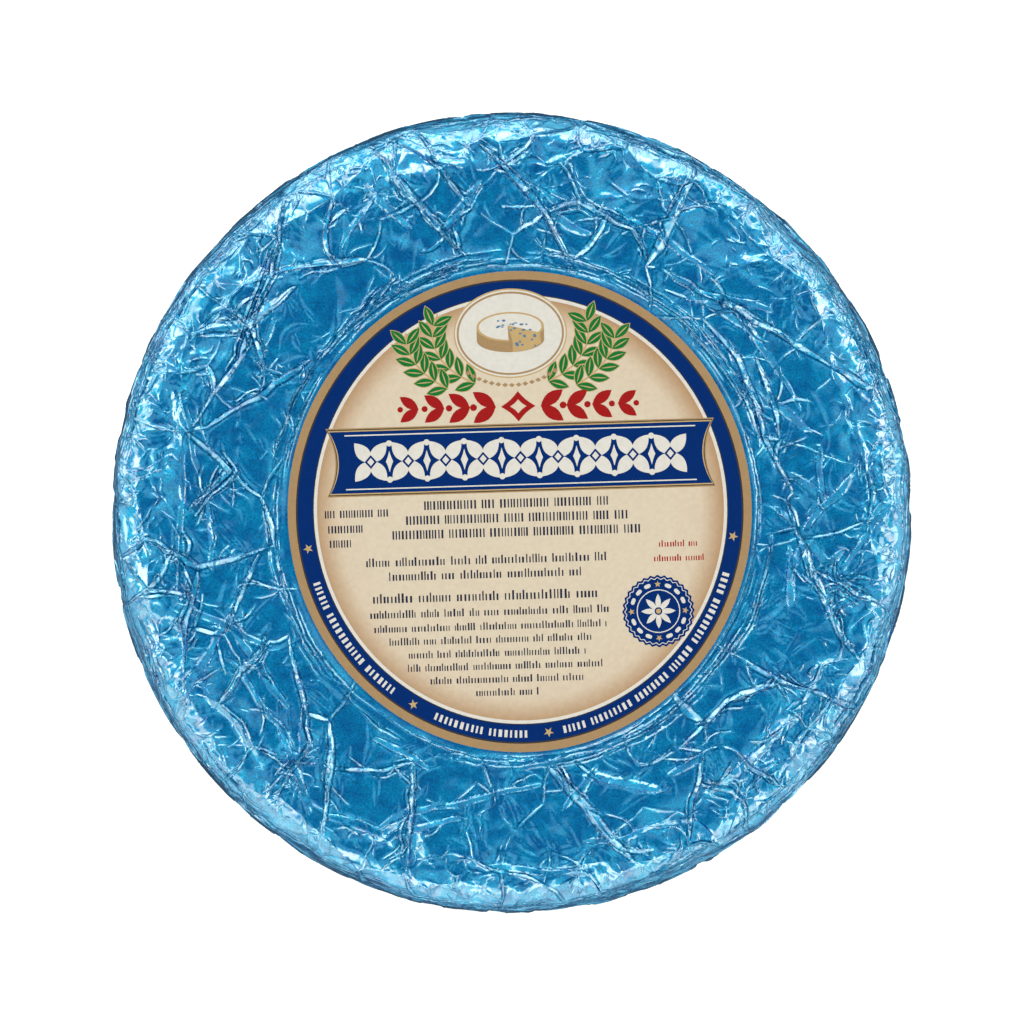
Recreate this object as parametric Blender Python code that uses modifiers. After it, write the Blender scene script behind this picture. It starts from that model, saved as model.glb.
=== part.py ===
"""A whole blue cheese wheel in its blue foil, with a thin paper label on the flat top.

The wheel stands on its base with +Z up, and the origin is the middle of the base. The foil is one
sheet laid over the top, pleated down the side and gathered under the base. It is shut, so the wheel
is one solid. The label is a second solid, a hair above the foil.
"""

import math
import random

import bmesh
import bpy
from mathutils import Matrix, Vector
from mathutils.geometry import delaunay_2d_cdt

OBJECT_NAME = "blue_cheese_wheel"

# Driving dimensions, in metres.
WHEEL_RADIUS = 0.0975
WHEEL_HEIGHT = 0.090
SHOULDER_RADIUS = 0.0115
HEEL_RADIUS = 0.0105
SIDE_BOW = 0.0008
FOOT_INNER_RADIUS = 0.060
BASE_RISE = 0.0020

LABEL_HALF_WIDTH = 0.0565
LABEL_HALF_HEIGHT = 0.0586
LABEL_CENTRE = Vector((0.0020, 0.0003))
LABEL_TURN = math.radians(1.7)
LABEL_THICKNESS = 0.0004
LABEL_GAP = 0.0003
LABEL_STEPS = 96

# The foil's relief, in metres.
CREASE_HEIGHT = 0.0009
CREASE_HALF_WIDTH = 0.0015
DENT_DEPTH = 0.00035
SIDE_DENT_DEPTH = 0.0005
PLEAT_HEIGHT = 0.0014
GATHER_HEIGHT = 0.0013
GATHER_TWIST = math.radians(24)
LEAST_CLEARANCE = 0.0001

# How finely the foil is divided.
PLEATS = 33
COLUMNS_A_PLEAT = 4
SHOULDER_RINGS = 5
SIDE_RINGS = 9
HEEL_RINGS = 4
BASE_RINGS = 6
TOP_SPACING = 0.0042
BED_SPACING = 0.012
CREASE_SPACING = 0.0040

# Across a pleat, each column's share of the pleat's width and of its height: a long rise, then a step.
PLEAT_COLUMNS = ((0.0, 0.0), (0.40, 0.42), (0.74, 0.80), (0.93, 1.0))

# The larger creases of the top, as lines through points in millimetres from the wheel's middle.
MAIN_CREASES_MM = (
    ((-34, 88), (-11, 62)),
    ((-55, 78), (-59, 58), (-64, 46), (-66, 38), (-78, 20)),
    ((-77, 44), (-64, 46), (-52, 55)),
    ((-69, 50), (-64, 46), (-60, 35)),
    ((-59, 58), (-35, 62)),
    ((-28, 58), (-42, 43)),
    ((-79, 20), (-68, 10), (-79, 0)),
    ((-74, 21), (-61, 29), (-49, 37)),
    ((-7, 90), (8, 73), (14, 61)),
    ((8, 73), (17, 76), (30, 69), (33, 61)),
    ((45, 81), (39, 71), (33, 60)),
    ((36, 60), (46, 54), (56, 49), (69, 41), (78, 35)),
    ((47, 47), (55, 38), (61, 19), (68, 5)),
    ((59, 39), (66, 18)),
    ((-89, -6), (-76, -13), (-58, -8)),
    ((-76, -13), (-80, -36)),
    ((-61, -9), (-70, -30)),
    ((-59, -31), (-71, -46)),
    ((-54, -30), (-51, -42), (-49, -56), (-57, -69)),
    ((-44, -50), (-44, -62), (-46, -78)),
    ((-24, -61), (-24, -75), (-26, -88)),
    ((9, -62), (17, -71), (30, -85)),
    ((67, 3), (73, -14), (80, -30), (84, -36)),
    ((73, -14), (90, -22)),
    ((57, -36), (78, -46)),
    ((41, -57), (53, -46), (66, -41)),
    ((47, -58), (43, -82)),
    ((55, -58), (66, -67)),
)

# How high a crease still is at its two ends, as a share of its full height.
CREASE_END_SHARE = 0.35


def smooth(share):
    """Runs from 0 to 1 with flat ends."""
    share = min(1.0, max(0.0, share))
    return share * share * (3 - 2 * share)


# The flat top and its creases


def label_reach(point):
    """How far out a point of the top lies from the label's middle: 1 on the label's edge."""
    local = point - LABEL_CENTRE
    turn = -LABEL_TURN
    across = local.x * math.cos(turn) - local.y * math.sin(turn)
    up = local.x * math.sin(turn) + local.y * math.cos(turn)
    return math.hypot(across / LABEL_HALF_WIDTH, up / LABEL_HALF_HEIGHT)


def off_label(point):
    """0 on the label's flat bed, rising to 1 a few millimetres outside it."""
    return smooth((label_reach(point) - 1.02) / 0.06)


def crease_segments():
    """Each straight stretch of a crease as (start, end, height share at the start, and at the end)."""
    for line in MAIN_CREASES_MM:
        points = [Vector(point) / 1000 for point in line]
        if len(points) == 2:
            points.insert(1, (points[0] + points[1]) / 2)
        shares = [CREASE_END_SHARE, *[1.0] * (len(points) - 2), CREASE_END_SHARE]
        yield from zip(points, points[1:], shares, shares[1:])


SEGMENTS = list(crease_segments())


def nearest_on(segment, point):
    """How far a point lies from a stretch of crease, and the crest's height share beside it."""
    start, end, low, high = segment
    run = end - start
    along = min(1.0, max(0.0, (point - start).dot(run) / run.length_squared))
    return (point - start - run * along).length, low + (high - low) * along


def crease_lift(point):
    """Height of the creases at a point of the top: a sharp crest with straight flanks."""
    lift = 0.0
    for segment in SEGMENTS:
        away, share = nearest_on(segment, point)
        lift = max(lift, CREASE_HEIGHT * share * (1 - away / CREASE_HALF_WIDTH))
    return lift


def crease_distance(point):
    return min(nearest_on(segment, point)[0] for segment in SEGMENTS)


def crease_points(edge_radius):
    """Points along each crease's crest and both its feet, and the crest's edges as index pairs."""
    points = []
    edges = []
    for start, end, _, _ in SEGMENTS:
        run = end - start
        steps = max(1, round(run.length / CREASE_SPACING))
        side = Vector((-run.y, run.x)).normalized() * CREASE_HALF_WIDTH
        crest = [start + run * (i / steps) for i in range(steps + 1)]
        crest = [p for p in crest if p.length < edge_radius and label_reach(p) > 1.03]
        first = len(points)
        points += crest
        edges += [(first + i, first + i + 1) for i in range(len(crest) - 1)]
        for foot in (p + way * side for p in crest[::2] for way in (-1, 1)):
            if foot.length < edge_radius and label_reach(foot) > 1.03:
                points.append(foot)
    return points, edges


def scattered_points(radius, spacing, keep, rng):
    """An uneven triangular grid of points in a disc, of those that keep() accepts."""
    row_height = spacing * math.sqrt(3) / 2
    rows = int(radius / row_height) + 1
    across = int(radius / spacing) + 1
    found = []
    for row in range(-rows, rows + 1):
        for place in range(-across, across + 1):
            shake = Vector((rng.uniform(-0.3, 0.3), rng.uniform(-0.3, 0.3))) * spacing
            point = Vector(((place + row % 2 / 2) * spacing, row * row_height)) + shake
            if point.length < radius and keep(point):
                found.append(point)
    return found


def label_bed_edge():
    """The oval just outside the label, where the crinkled foil begins."""
    turns = [math.tau * i / LABEL_STEPS for i in range(LABEL_STEPS)]
    return [label_point(turn, 1.03) for turn in turns]


def label_point(turn, reach):
    across = LABEL_HALF_WIDTH * reach * math.cos(turn)
    up = LABEL_HALF_HEIGHT * reach * math.sin(turn)
    cos, sin = math.cos(LABEL_TURN), math.sin(LABEL_TURN)
    return LABEL_CENTRE + Vector((across * cos - up * sin, across * sin + up * cos))


def top_height(point, rng):
    """Height of the foil at a point inside the top's edge."""
    dent = rng.uniform(-1, 1) * DENT_DEPTH
    lift = crease_lift(point)
    if lift > 0:
        dent = 0.0
    return WHEEL_HEIGHT + off_label(point) * (lift + dent)


def close_top(mesh):
    """Fills the turned body's open top with crinkled foil whose edges follow the creases."""
    rng = random.Random(7)
    rim = [v for v in mesh.verts if v.is_boundary]
    rim.sort(key=lambda v: math.atan2(v.co.y, v.co.x))
    edge_radius = min(v.co.xy.length for v in rim) - 0.4 * TOP_SPACING

    points = [v.co.xy for v in rim]
    edges = [(i, (i + 1) % len(rim)) for i in range(len(rim))]
    bed = label_bed_edge()
    edges += [(len(points) + i, len(points) + (i + 1) % len(bed)) for i in range(len(bed))]
    points += bed
    crests, crest_edges = crease_points(edge_radius)
    edges += [(a + len(points), b + len(points)) for a, b in crest_edges]
    points += crests
    points += scattered_points(
        edge_radius,
        TOP_SPACING,
        lambda p: label_reach(p) > 1.06 and crease_distance(p) > 1.5 * CREASE_HALF_WIDTH,
        rng,
    )
    points += scattered_points(LABEL_HALF_WIDTH, BED_SPACING, lambda p: label_reach(p) < 0.95, rng)

    flat, _, faces, sources, _, _ = delaunay_2d_cdt(points, edges, [], 1, 1e-6)
    verts = []
    for point, source in zip(flat, sources):
        on_rim = [i for i in source if i < len(rim)]
        if on_rim:
            verts.append(rim[on_rim[0]])
        else:
            verts.append(mesh.verts.new((point.x, point.y, top_height(point, rng))))
    for face in faces:
        mesh.faces.new([verts[i] for i in face])


# The turned body: shoulder, side, heel and base


def arc(middle, radius, start, end, steps):
    """Points on an arc in the (radius, height) plane, without its first one."""
    for i in range(1, steps + 1):
        turn = start + (end - start) * i / steps
        yield middle[0] + radius * math.cos(turn), middle[1] + radius * math.sin(turn)


def body_profile():
    """(radius, height) from the top's edge down the outside to the middle of the base."""
    top_edge = WHEEL_RADIUS - SIDE_BOW - SHOULDER_RADIUS
    foot_edge = WHEEL_RADIUS - SIDE_BOW - HEEL_RADIUS
    side_top = WHEEL_HEIGHT - SHOULDER_RADIUS
    quarter = math.pi / 2
    profile = [(top_edge, WHEEL_HEIGHT)]
    profile += arc((top_edge, side_top), SHOULDER_RADIUS, quarter, 0, SHOULDER_RINGS)
    for i in range(1, SIDE_RINGS + 1):
        share = i / (SIDE_RINGS + 1)
        bow = SIDE_BOW * math.sin(math.pi * share)
        profile.append((top_edge + SHOULDER_RADIUS + bow, side_top + (HEEL_RADIUS - side_top) * share))
    profile.append((foot_edge + HEEL_RADIUS, HEEL_RADIUS))
    profile += arc((foot_edge, HEEL_RADIUS), HEEL_RADIUS, 0, -quarter, HEEL_RINGS)
    profile.append((FOOT_INNER_RADIUS, 0.0))
    for i in range(1, BASE_RINGS + 1):
        share = i / BASE_RINGS
        profile.append((FOOT_INNER_RADIUS * (1 - share), BASE_RISE * smooth(1.6 * share)))
    return profile


def turned_body():
    """The profile turned about Z by a Screw modifier, as a mesh that is open at the top."""
    outline = bpy.data.meshes.new("wheel_profile")
    points = [(radius, 0.0, height) for radius, height in body_profile()]
    outline.from_pydata(points, [(i, i + 1) for i in range(len(points) - 1)], [])
    guide = bpy.data.objects.new("wheel_profile", outline)
    bpy.context.scene.collection.objects.link(guide)
    screw = guide.modifiers.new("turn", "SCREW")
    screw.steps = screw.render_steps = PLEATS * COLUMNS_A_PLEAT
    screw.use_merge_vertices = True
    screw.merge_threshold = 0.00001
    graph = bpy.context.evaluated_depsgraph_get()
    turned = bpy.data.meshes.new_from_object(guide.evaluated_get(graph))
    bpy.data.objects.remove(guide)
    bpy.data.meshes.remove(outline)
    return turned


def pleat_starts(rng):
    """The angle where each pleat begins. They are uneven, and the last one closes the circle."""
    widths = [rng.uniform(0.62, 1.38) for _ in range(PLEATS)]
    starts = [0.0]
    for width in widths:
        starts.append(starts[-1] + width * math.tau / sum(widths))
    return starts


def side_share(height):
    """0 at the top's edge, 1 where the side reaches the heel."""
    return (WHEEL_HEIGHT - height) / (WHEEL_HEIGHT - HEEL_RADIUS)


def pleat_strength(radius, height):
    """How deep the pleats are at a place on the turned body, and 0 on the flat ring it stands on."""
    if height > HEEL_RADIUS:
        return PLEAT_HEIGHT * smooth(1.3 * side_share(height))
    if radius > FOOT_INNER_RADIUS:
        return PLEAT_HEIGHT * smooth(height / HEEL_RADIUS)
    return GATHER_HEIGHT * smooth(4 * (1 - radius / FOOT_INNER_RADIUS)) * smooth(4 * radius / FOOT_INNER_RADIUS)


def fold_body(mesh):
    """Gives the smooth turned body its pleats, dents, shoulder creases and gathered base."""
    rng = random.Random(3)
    starts = pleat_starts(rng)
    boosts = [rng.uniform(0.45, 1.0) for _ in range(PLEATS)]
    mesh.normal_update()
    moved = []
    for vert in mesh.verts:
        radius, height = vert.co.xy.length, vert.co.z
        if radius < LEAST_CLEARANCE:
            continue
        turn = math.atan2(vert.co.y, vert.co.x)
        column = round(turn / math.tau * PLEATS * COLUMNS_A_PLEAT) % (PLEATS * COLUMNS_A_PLEAT)
        pleat, part = divmod(column, COLUMNS_A_PLEAT)
        width_share, height_share = PLEAT_COLUMNS[part]
        on_base = height < BASE_RISE + LEAST_CLEARANCE and radius < WHEEL_RADIUS - HEEL_RADIUS
        on_foot = on_base and radius > FOOT_INNER_RADIUS - LEAST_CLEARANCE
        on_shoulder = height > WHEEL_HEIGHT - SHOULDER_RADIUS

        even_share = part / COLUMNS_A_PLEAT
        folded = smooth(2 * side_share(height))
        place = even_share + (width_share - even_share) * folded
        new_turn = starts[pleat] + place * (starts[pleat + 1] - starts[pleat])
        if on_base and not on_foot:
            new_turn += GATHER_TWIST * (1 - radius / FOOT_INNER_RADIUS) ** 1.5

        lift = pleat_strength(radius, height) * boosts[pleat] * (height_share - 0.5)
        if not on_base and height < WHEEL_HEIGHT - LEAST_CLEARANCE:
            lift += rng.uniform(-1, 1) * SIDE_DENT_DEPTH * smooth(4 * height / WHEEL_HEIGHT)
        swing = Matrix.Rotation(new_turn - turn, 3, "Z")
        new = swing @ vert.co
        if on_shoulder:
            lift += crease_lift(new.xy)
        new += swing @ vert.normal * lift
        if not on_foot:
            new.z = max(new.z, LEAST_CLEARANCE)
        moved.append((vert, new))
    for vert, new in moved:
        vert.co = new


def make_wheel(collection, material):
    turned = turned_body()
    mesh = bmesh.new()
    mesh.from_mesh(turned)
    bmesh.ops.remove_doubles(mesh, verts=mesh.verts, dist=0.00001)
    fold_body(mesh)
    close_top(mesh)
    bmesh.ops.triangulate(mesh, faces=mesh.faces)
    bmesh.ops.recalc_face_normals(mesh, faces=mesh.faces)
    mesh.to_mesh(turned)
    mesh.free()
    turned.name = "foil_wrapped_wheel"
    turned.materials.append(material)
    wheel = bpy.data.objects.new("foil_wrapped_wheel", turned)
    collection.objects.link(wheel)
    return wheel


# The label


def make_label(collection, material):
    """A thin oval disc, centred on its own origin and laid a hair above the foil's flat bed."""
    mesh = bmesh.new()
    bmesh.ops.create_cone(
        mesh, cap_ends=True, segments=LABEL_STEPS, radius1=1.0, radius2=1.0, depth=LABEL_THICKNESS
    )
    bmesh.ops.scale(mesh, verts=mesh.verts, vec=(LABEL_HALF_WIDTH, LABEL_HALF_HEIGHT, 1.0))
    data = bpy.data.meshes.new("paper_label")
    mesh.to_mesh(data)
    mesh.free()
    data.materials.append(material)
    label = bpy.data.objects.new("paper_label", data)
    label.location = (*LABEL_CENTRE, WHEEL_HEIGHT + LABEL_GAP + LABEL_THICKNESS / 2)
    label.rotation_euler.z = LABEL_TURN
    collection.objects.link(label)
    return label


# Materials and the whole


def make_material(name, colour, roughness, metallic, coat=0.0):
    material = bpy.data.materials.new(name)
    material.use_nodes = True
    shader = material.node_tree.nodes["Principled BSDF"]
    shader.inputs["Base Color"].default_value = (*colour, 1.0)
    shader.inputs["Roughness"].default_value = roughness
    shader.inputs["Metallic"].default_value = metallic
    shader.inputs["Coat Weight"].default_value = coat
    material.diffuse_color = (*colour, 1.0)
    return material


def main():
    for old in list(bpy.data.objects):
        bpy.data.objects.remove(old)
    collection = bpy.data.collections.new(OBJECT_NAME)
    bpy.context.scene.collection.children.link(collection)
    foil = make_material("blue_foil", (0.03, 0.24, 0.46), roughness=0.24, metallic=1.0, coat=0.5)
    paper = make_material("label_paper", (0.78, 0.66, 0.50), roughness=0.45, metallic=0.0)
    wheel = make_wheel(collection, foil)
    label = make_label(collection, paper)
    label.parent = wheel


main()
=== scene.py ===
"""The looks of a foil-wrapped blue cheese wheel: crinkled blue foil, a printed paper label, and a studio.

Lengths are in millimetres up to the point where a mesh is made, and MM turns them into metres.
The foil is worked out flat, as a sheet: a point of the sheet is (x, y), its distance from the
middle is how far it lies from the top's middle along the foil, and the wheel's profile then bends
the sheet over the shoulder, down the side and under the base.
"""

import math
import random

import bpy
import numpy as np
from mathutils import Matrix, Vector
from mathutils.geometry import delaunay_2d_cdt


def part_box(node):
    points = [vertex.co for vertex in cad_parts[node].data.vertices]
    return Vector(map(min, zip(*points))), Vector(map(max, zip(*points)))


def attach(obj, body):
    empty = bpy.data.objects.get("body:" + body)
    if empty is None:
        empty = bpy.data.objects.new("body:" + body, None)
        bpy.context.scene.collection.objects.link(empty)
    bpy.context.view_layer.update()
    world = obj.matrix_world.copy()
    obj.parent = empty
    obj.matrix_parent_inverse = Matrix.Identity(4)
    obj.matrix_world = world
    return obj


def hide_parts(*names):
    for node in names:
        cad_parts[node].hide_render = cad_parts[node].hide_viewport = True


MM = 0.001
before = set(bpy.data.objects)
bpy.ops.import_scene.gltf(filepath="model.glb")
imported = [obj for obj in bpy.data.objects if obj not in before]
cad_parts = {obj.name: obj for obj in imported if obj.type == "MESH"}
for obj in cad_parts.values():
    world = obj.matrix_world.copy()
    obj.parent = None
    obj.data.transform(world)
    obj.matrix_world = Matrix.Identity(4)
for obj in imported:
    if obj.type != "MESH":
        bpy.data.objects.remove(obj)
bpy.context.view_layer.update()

# Sizes taken from the frame
wheel_low, wheel_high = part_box("foil_wrapped_wheel")
label_low, label_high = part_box("paper_label")
LABEL_X = (label_low.x + label_high.x) / 2 / MM
LABEL_Y = (label_low.y + label_high.y) / 2 / MM
LABEL_HALF_WIDTH = (label_high.x - label_low.x) / 2 / MM
LABEL_HALF_HEIGHT = (label_high.y - label_low.y) / 2 / MM
LABEL_TOP = label_high.z / MM
LABEL_TURN = math.radians(1.7)
TOP_HEIGHT = label_low.z / MM - 0.3
HIGHEST = wheel_high.z / MM - 0.02
WIDEST = min(wheel_high.x, wheel_high.y, -wheel_low.x, -wheel_low.y) / MM - 0.02

# The wheel's profile, as in the solid
WHEEL_RADIUS = 97.5
SIDE_BOW = 0.8
SHOULDER_RADIUS = 11.5
HEEL_RADIUS = 10.5
FOOT_INNER_RADIUS = 60.0
BASE_RISE = 2.0
TOP_EDGE = WHEEL_RADIUS - SIDE_BOW - SHOULDER_RADIUS
SIDE_START = TOP_EDGE + SHOULDER_RADIUS * math.pi / 2
SIDE_LENGTH = TOP_HEIGHT - SHOULDER_RADIUS - HEEL_RADIUS
HEEL_START = SIDE_START + SIDE_LENGTH
FOOT_START = HEEL_START + HEEL_RADIUS * math.pi / 2
FOOT_EDGE = WHEEL_RADIUS - SIDE_BOW - HEEL_RADIUS
SHEET_RADIUS = FOOT_START + FOOT_EDGE

# How finely the foil is divided
TOP_REACH = SIDE_START + 7.0
FINE_RADIUS = FOOT_START - 2.5
FINE_SPACING = 0.82
SIDE_SPACING = 1.5
BED_SPACING = 3.0
CREST_STEP = 0.8
SIDE_STEP = 1.3
COLUMNS = 720
SHARP_ANGLE = math.radians(30)

# The pleats down the side and the gathers under the base, as in the solid
PLEATS = 33
PLEAT_HEIGHT = 1.4
GATHER_HEIGHT = 1.3
GATHER_TWIST = math.radians(24)
PLEAT_SHAPE = ((0.0, 0.40, 0.74, 0.93, 1.0), (0.0, 0.42, 0.80, 1.0, 0.0))

# The larger creases of the top, as in the solid: lines through points in millimetres
MAIN_CREASES = (
    ((-34, 88), (-11, 62)),
    ((-55, 78), (-59, 58), (-64, 46), (-66, 38), (-78, 20)),
    ((-77, 44), (-64, 46), (-52, 55)),
    ((-69, 50), (-64, 46), (-60, 35)),
    ((-59, 58), (-35, 62)),
    ((-28, 58), (-42, 43)),
    ((-79, 20), (-68, 10), (-79, 0)),
    ((-74, 21), (-61, 29), (-49, 37)),
    ((-7, 90), (8, 73), (14, 61)),
    ((8, 73), (17, 76), (30, 69), (33, 61)),
    ((45, 81), (39, 71), (33, 60)),
    ((36, 60), (46, 54), (56, 49), (69, 41), (78, 35)),
    ((47, 47), (55, 38), (61, 19), (68, 5)),
    ((59, 39), (66, 18)),
    ((-89, -6), (-76, -13), (-58, -8)),
    ((-76, -13), (-80, -36)),
    ((-61, -9), (-70, -30)),
    ((-59, -31), (-71, -46)),
    ((-54, -30), (-51, -42), (-49, -56), (-57, -69)),
    ((-44, -50), (-44, -62), (-46, -78)),
    ((-24, -61), (-24, -75), (-26, -88)),
    ((9, -62), (17, -71), (30, -85)),
    ((67, 3), (73, -14), (80, -30), (84, -36)),
    ((73, -14), (90, -22)),
    ((57, -36), (78, -46)),
    ((41, -57), (53, -46), (66, -41)),
    ((47, -58), (43, -82)),
    ((55, -58), (66, -67)),
)

# The share of the net's sides that are creased, and the kinds of crease: the draws up to which each
# is used, how high it is, how much of that is left at its ends, and how wide its steep flank is
NET_SHARE = 0.8
NET_KINDS = (
    (0.35, (0.1, 0.2), 0.5, 0.25),
    (0.75, (0.2, 0.34), 0.4, 0.28),
    (1.0, (0.36, 0.6), 0.35, 0.3),
)

# Arcs round the label and round the rim: how many, how far out, how long and how high
LABEL_ARCS = (105, (0.9, 5.5), (10, 38), (0.1, 0.26))
RIM_ARCS = (
    (45, (94.5, 98.5), (12, 40), (0.14, 0.34)),
    (110, (96.5, SIDE_START + 1.0), (14, 50), (0.18, 0.4)),
)

# How many there are of the other random creases
WRINKLE_GROUPS = 120
SOFT_WRINKLES = 560
RIM_CRINKLES = 520
FLAT_FOLDS = 60
DASHES = 800

# A flat fold's steep edge, as a share of its width, and how far its top falls to that edge
FOLD_EDGE = 0.14
FOLD_FALL = 0.72

# How far the dark line of painted shade along a crease's foot reaches, and how far the shallow hollow there
# reaches
FOOT_REACH = 0.34
HOLLOW_REACH = 0.6


def smooth(share):
    share = np.clip(share, 0.0, 1.0)
    return share * share * (3 - 2 * share)


def past(along, start, reach):
    """0 up to start, 1 from start + reach on, and smooth between."""
    return smooth((along - start) / reach)


def heading(way):
    return np.array([math.cos(way), math.sin(way)])


def headings(ways):
    return np.stack([np.cos(ways), np.sin(ways)], axis=1)


def length_of(line):
    return np.hypot(*np.diff(line, axis=0).T).sum()


def past_label(x, y):
    """About how many millimetres outside the label's edge a point lies, below 0 inside it."""
    cos, sin = math.cos(LABEL_TURN), math.sin(LABEL_TURN)
    across = (x - LABEL_X) * cos + (y - LABEL_Y) * sin
    up = (y - LABEL_Y) * cos - (x - LABEL_X) * sin
    reach = np.hypot(across / LABEL_HALF_WIDTH, up / LABEL_HALF_HEIGHT)
    return (reach - 1) * (LABEL_HALF_WIDTH + LABEL_HALF_HEIGHT) / 2


def clear_of_label(least, *spots):
    return all(past_label(*spot) >= least for spot in spots)


# ---- The profile that the sheet is bent over


def profile_table():
    """Along the sheet: distance, radius, height, and the outward normal's two parts."""
    rows = [(0.0, 0.0, TOP_HEIGHT, 0.0, 1.0), (TOP_EDGE, TOP_EDGE, TOP_HEIGHT, 0.0, 1.0)]
    for turn in math.pi / 2 * np.arange(1, 33) / 32:
        cos, sin = math.cos(turn), math.sin(turn)
        radius, height = TOP_EDGE + SHOULDER_RADIUS * sin, TOP_HEIGHT - SHOULDER_RADIUS * (1 - cos)
        rows.append((TOP_EDGE + SHOULDER_RADIUS * turn, radius, height, sin, cos))
    for share in np.arange(1, 33) / 32:
        radius = WHEEL_RADIUS - SIDE_BOW + SIDE_BOW * math.sin(math.pi * share)
        down = SIDE_LENGTH * share
        rows.append((SIDE_START + down, radius, TOP_HEIGHT - SHOULDER_RADIUS - down, 1.0, 0.0))
    for turn in math.pi / 2 * np.arange(1, 33) / 32:
        cos, sin = math.cos(turn), math.sin(turn)
        radius, height = FOOT_EDGE + HEEL_RADIUS * cos, HEEL_RADIUS * (1 - sin)
        rows.append((HEEL_START + HEEL_RADIUS * turn, radius, height, cos, -sin))
    for radius in FOOT_EDGE * (1 - np.arange(1, 65) / 64):
        height = BASE_RISE * float(smooth(1.6 * max(0.0, 1 - radius / FOOT_INNER_RADIUS)))
        rows.append((FOOT_START + FOOT_EDGE - radius, radius, height, 0.0, -1.0))
    return np.array(rows).T


PROFILE = profile_table()


def surface(x, y):
    """Where sheet points go on the smooth wheel, with the normal, the way down and the way round there."""
    along = np.hypot(x, y)
    safe = np.maximum(along, 1e-9)
    cos, sin = x / safe, y / safe
    radius, height, out, up = (np.interp(along, PROFILE[0], row) for row in PROFILE[1:])
    place = np.stack([radius * cos, radius * sin, height], axis=1)
    normal = np.stack([out * cos, out * sin, up], axis=1)
    down = np.stack([up * cos, up * sin, -out], axis=1)
    round_ = np.stack([-sin, cos, np.zeros_like(cos)], axis=1)
    return place, normal, down, round_


# ---- Soft uneven noise


def lattice_noise(x, y, size, seed):
    """Smooth noise from -1 to 1 whose lumps are about one size across."""
    cells = 256
    grid = np.random.default_rng(seed).uniform(-1, 1, (cells, cells))
    u, v = x / size + 1000.0, y / size + 1000.0
    iu, iv = np.floor(u).astype(int), np.floor(v).astype(int)
    fu, fv = u - iu, v - iv
    fu, fv = fu * fu * (3 - 2 * fu), fv * fv * (3 - 2 * fv)
    a, b = grid[iu % cells, iv % cells], grid[(iu + 1) % cells, iv % cells]
    c, d = grid[iu % cells, (iv + 1) % cells], grid[(iu + 1) % cells, (iv + 1) % cells]
    return (a * (1 - fu) + b * fu) * (1 - fv) + (c * (1 - fu) + d * fu) * fv


def ridged(x, y, size, seed):
    """Uneven noise with sharp ridges and round hollows."""
    return 0.6 - 2 * np.abs(lattice_noise(x, y, size, seed))


def streaks(x, y):
    """Long narrow lumps that run one way here and another way there."""
    out = np.zeros(len(x))
    for degrees, seed in ((35, 71), (100, 72), (160, 73)):
        cos, sin = heading(math.radians(degrees))
        share = smooth(0.5 + 1.6 * lattice_noise(x, y, 17, seed + 10))
        out += share * lattice_noise((x * cos + y * sin) / 4.5, y * cos - x * sin, 2.6, seed)
    return out


def drift(spot, size, seed):
    """A direction that changes slowly from place to place."""
    return math.pi * float(lattice_noise(spot[:1], spot[1:], size, seed)[0])


# ---- Pleats


def pleat_plan():
    """The angle where each pleat begins, closed by the full circle, and each pleat's share of the height."""
    rng = random.Random(3)
    widths = [rng.uniform(0.62, 1.38) for _ in range(PLEATS)]
    boosts = [rng.uniform(0.45, 1.0) for _ in range(PLEATS)]
    return np.concatenate([[0.0], np.cumsum(widths)]) * math.tau / sum(widths), np.array(boosts)


PLEAT_STARTS, PLEAT_BOOSTS = pleat_plan()


def pleat_sway(along):
    """How far, as an angle, the pleats wander to one side on their way down, and twist under the base."""
    base_radius = np.maximum(FOOT_START + FOOT_EDGE - along, 0.0)
    twist = GATHER_TWIST * np.clip(1 - base_radius / FOOT_INNER_RADIUS, 0, 1) ** 1.5
    return np.where(along > FOOT_START, twist, 0.0) + 0.006 * np.sin(along / 11.0)


def pleat_lift(x, y, height):
    """How far the pleats raise the foil at sheet points: a long rise across each pleat, then a step."""
    along = np.hypot(x, y)
    turn = (np.arctan2(y, x) - pleat_sway(along)) % math.tau
    pleat = np.clip(np.searchsorted(PLEAT_STARTS, turn, side="right") - 1, 0, PLEATS - 1)
    share = (turn - PLEAT_STARTS[pleat]) / (PLEAT_STARTS[pleat + 1] - PLEAT_STARTS[pleat])
    rise = np.interp(share, *PLEAT_SHAPE) - 0.5
    side = PLEAT_HEIGHT * smooth(1.3 * (TOP_HEIGHT - height) / (TOP_HEIGHT - HEEL_RADIUS))
    heel = PLEAT_HEIGHT * smooth(height / HEEL_RADIUS)
    inward = 1 - np.maximum(FOOT_START + FOOT_EDGE - along, 0.0) / FOOT_INNER_RADIUS
    base = GATHER_HEIGHT * smooth(4 * inward) * smooth(4 * (1 - inward))
    strength = np.where(along < HEEL_START, side, np.where(along < FOOT_START, heel, base))
    return 0.85 * strength * PLEAT_BOOSTS[pleat] * rise


# ---- Nets of facets


def wandering(points, rng, step=9.0, sway=0.35):
    """The same line with more points, each a little off it, so that long runs aren't ruled."""
    out = [np.array(points[0], float)]
    for a, b in zip(points, points[1:]):
        a, b = np.array(a, float), np.array(b, float)
        length = float(np.hypot(*(b - a)))
        parts = max(1, round(length / step))
        normal = np.array([a[1] - b[1], b[0] - a[0]]) / length
        for i in range(1, parts + 1):
            off = rng.uniform(-sway, sway) if i < parts else 0.0
            out.append(a + (b - a) * (i / parts) + normal * off)
    return np.array(out)


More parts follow.
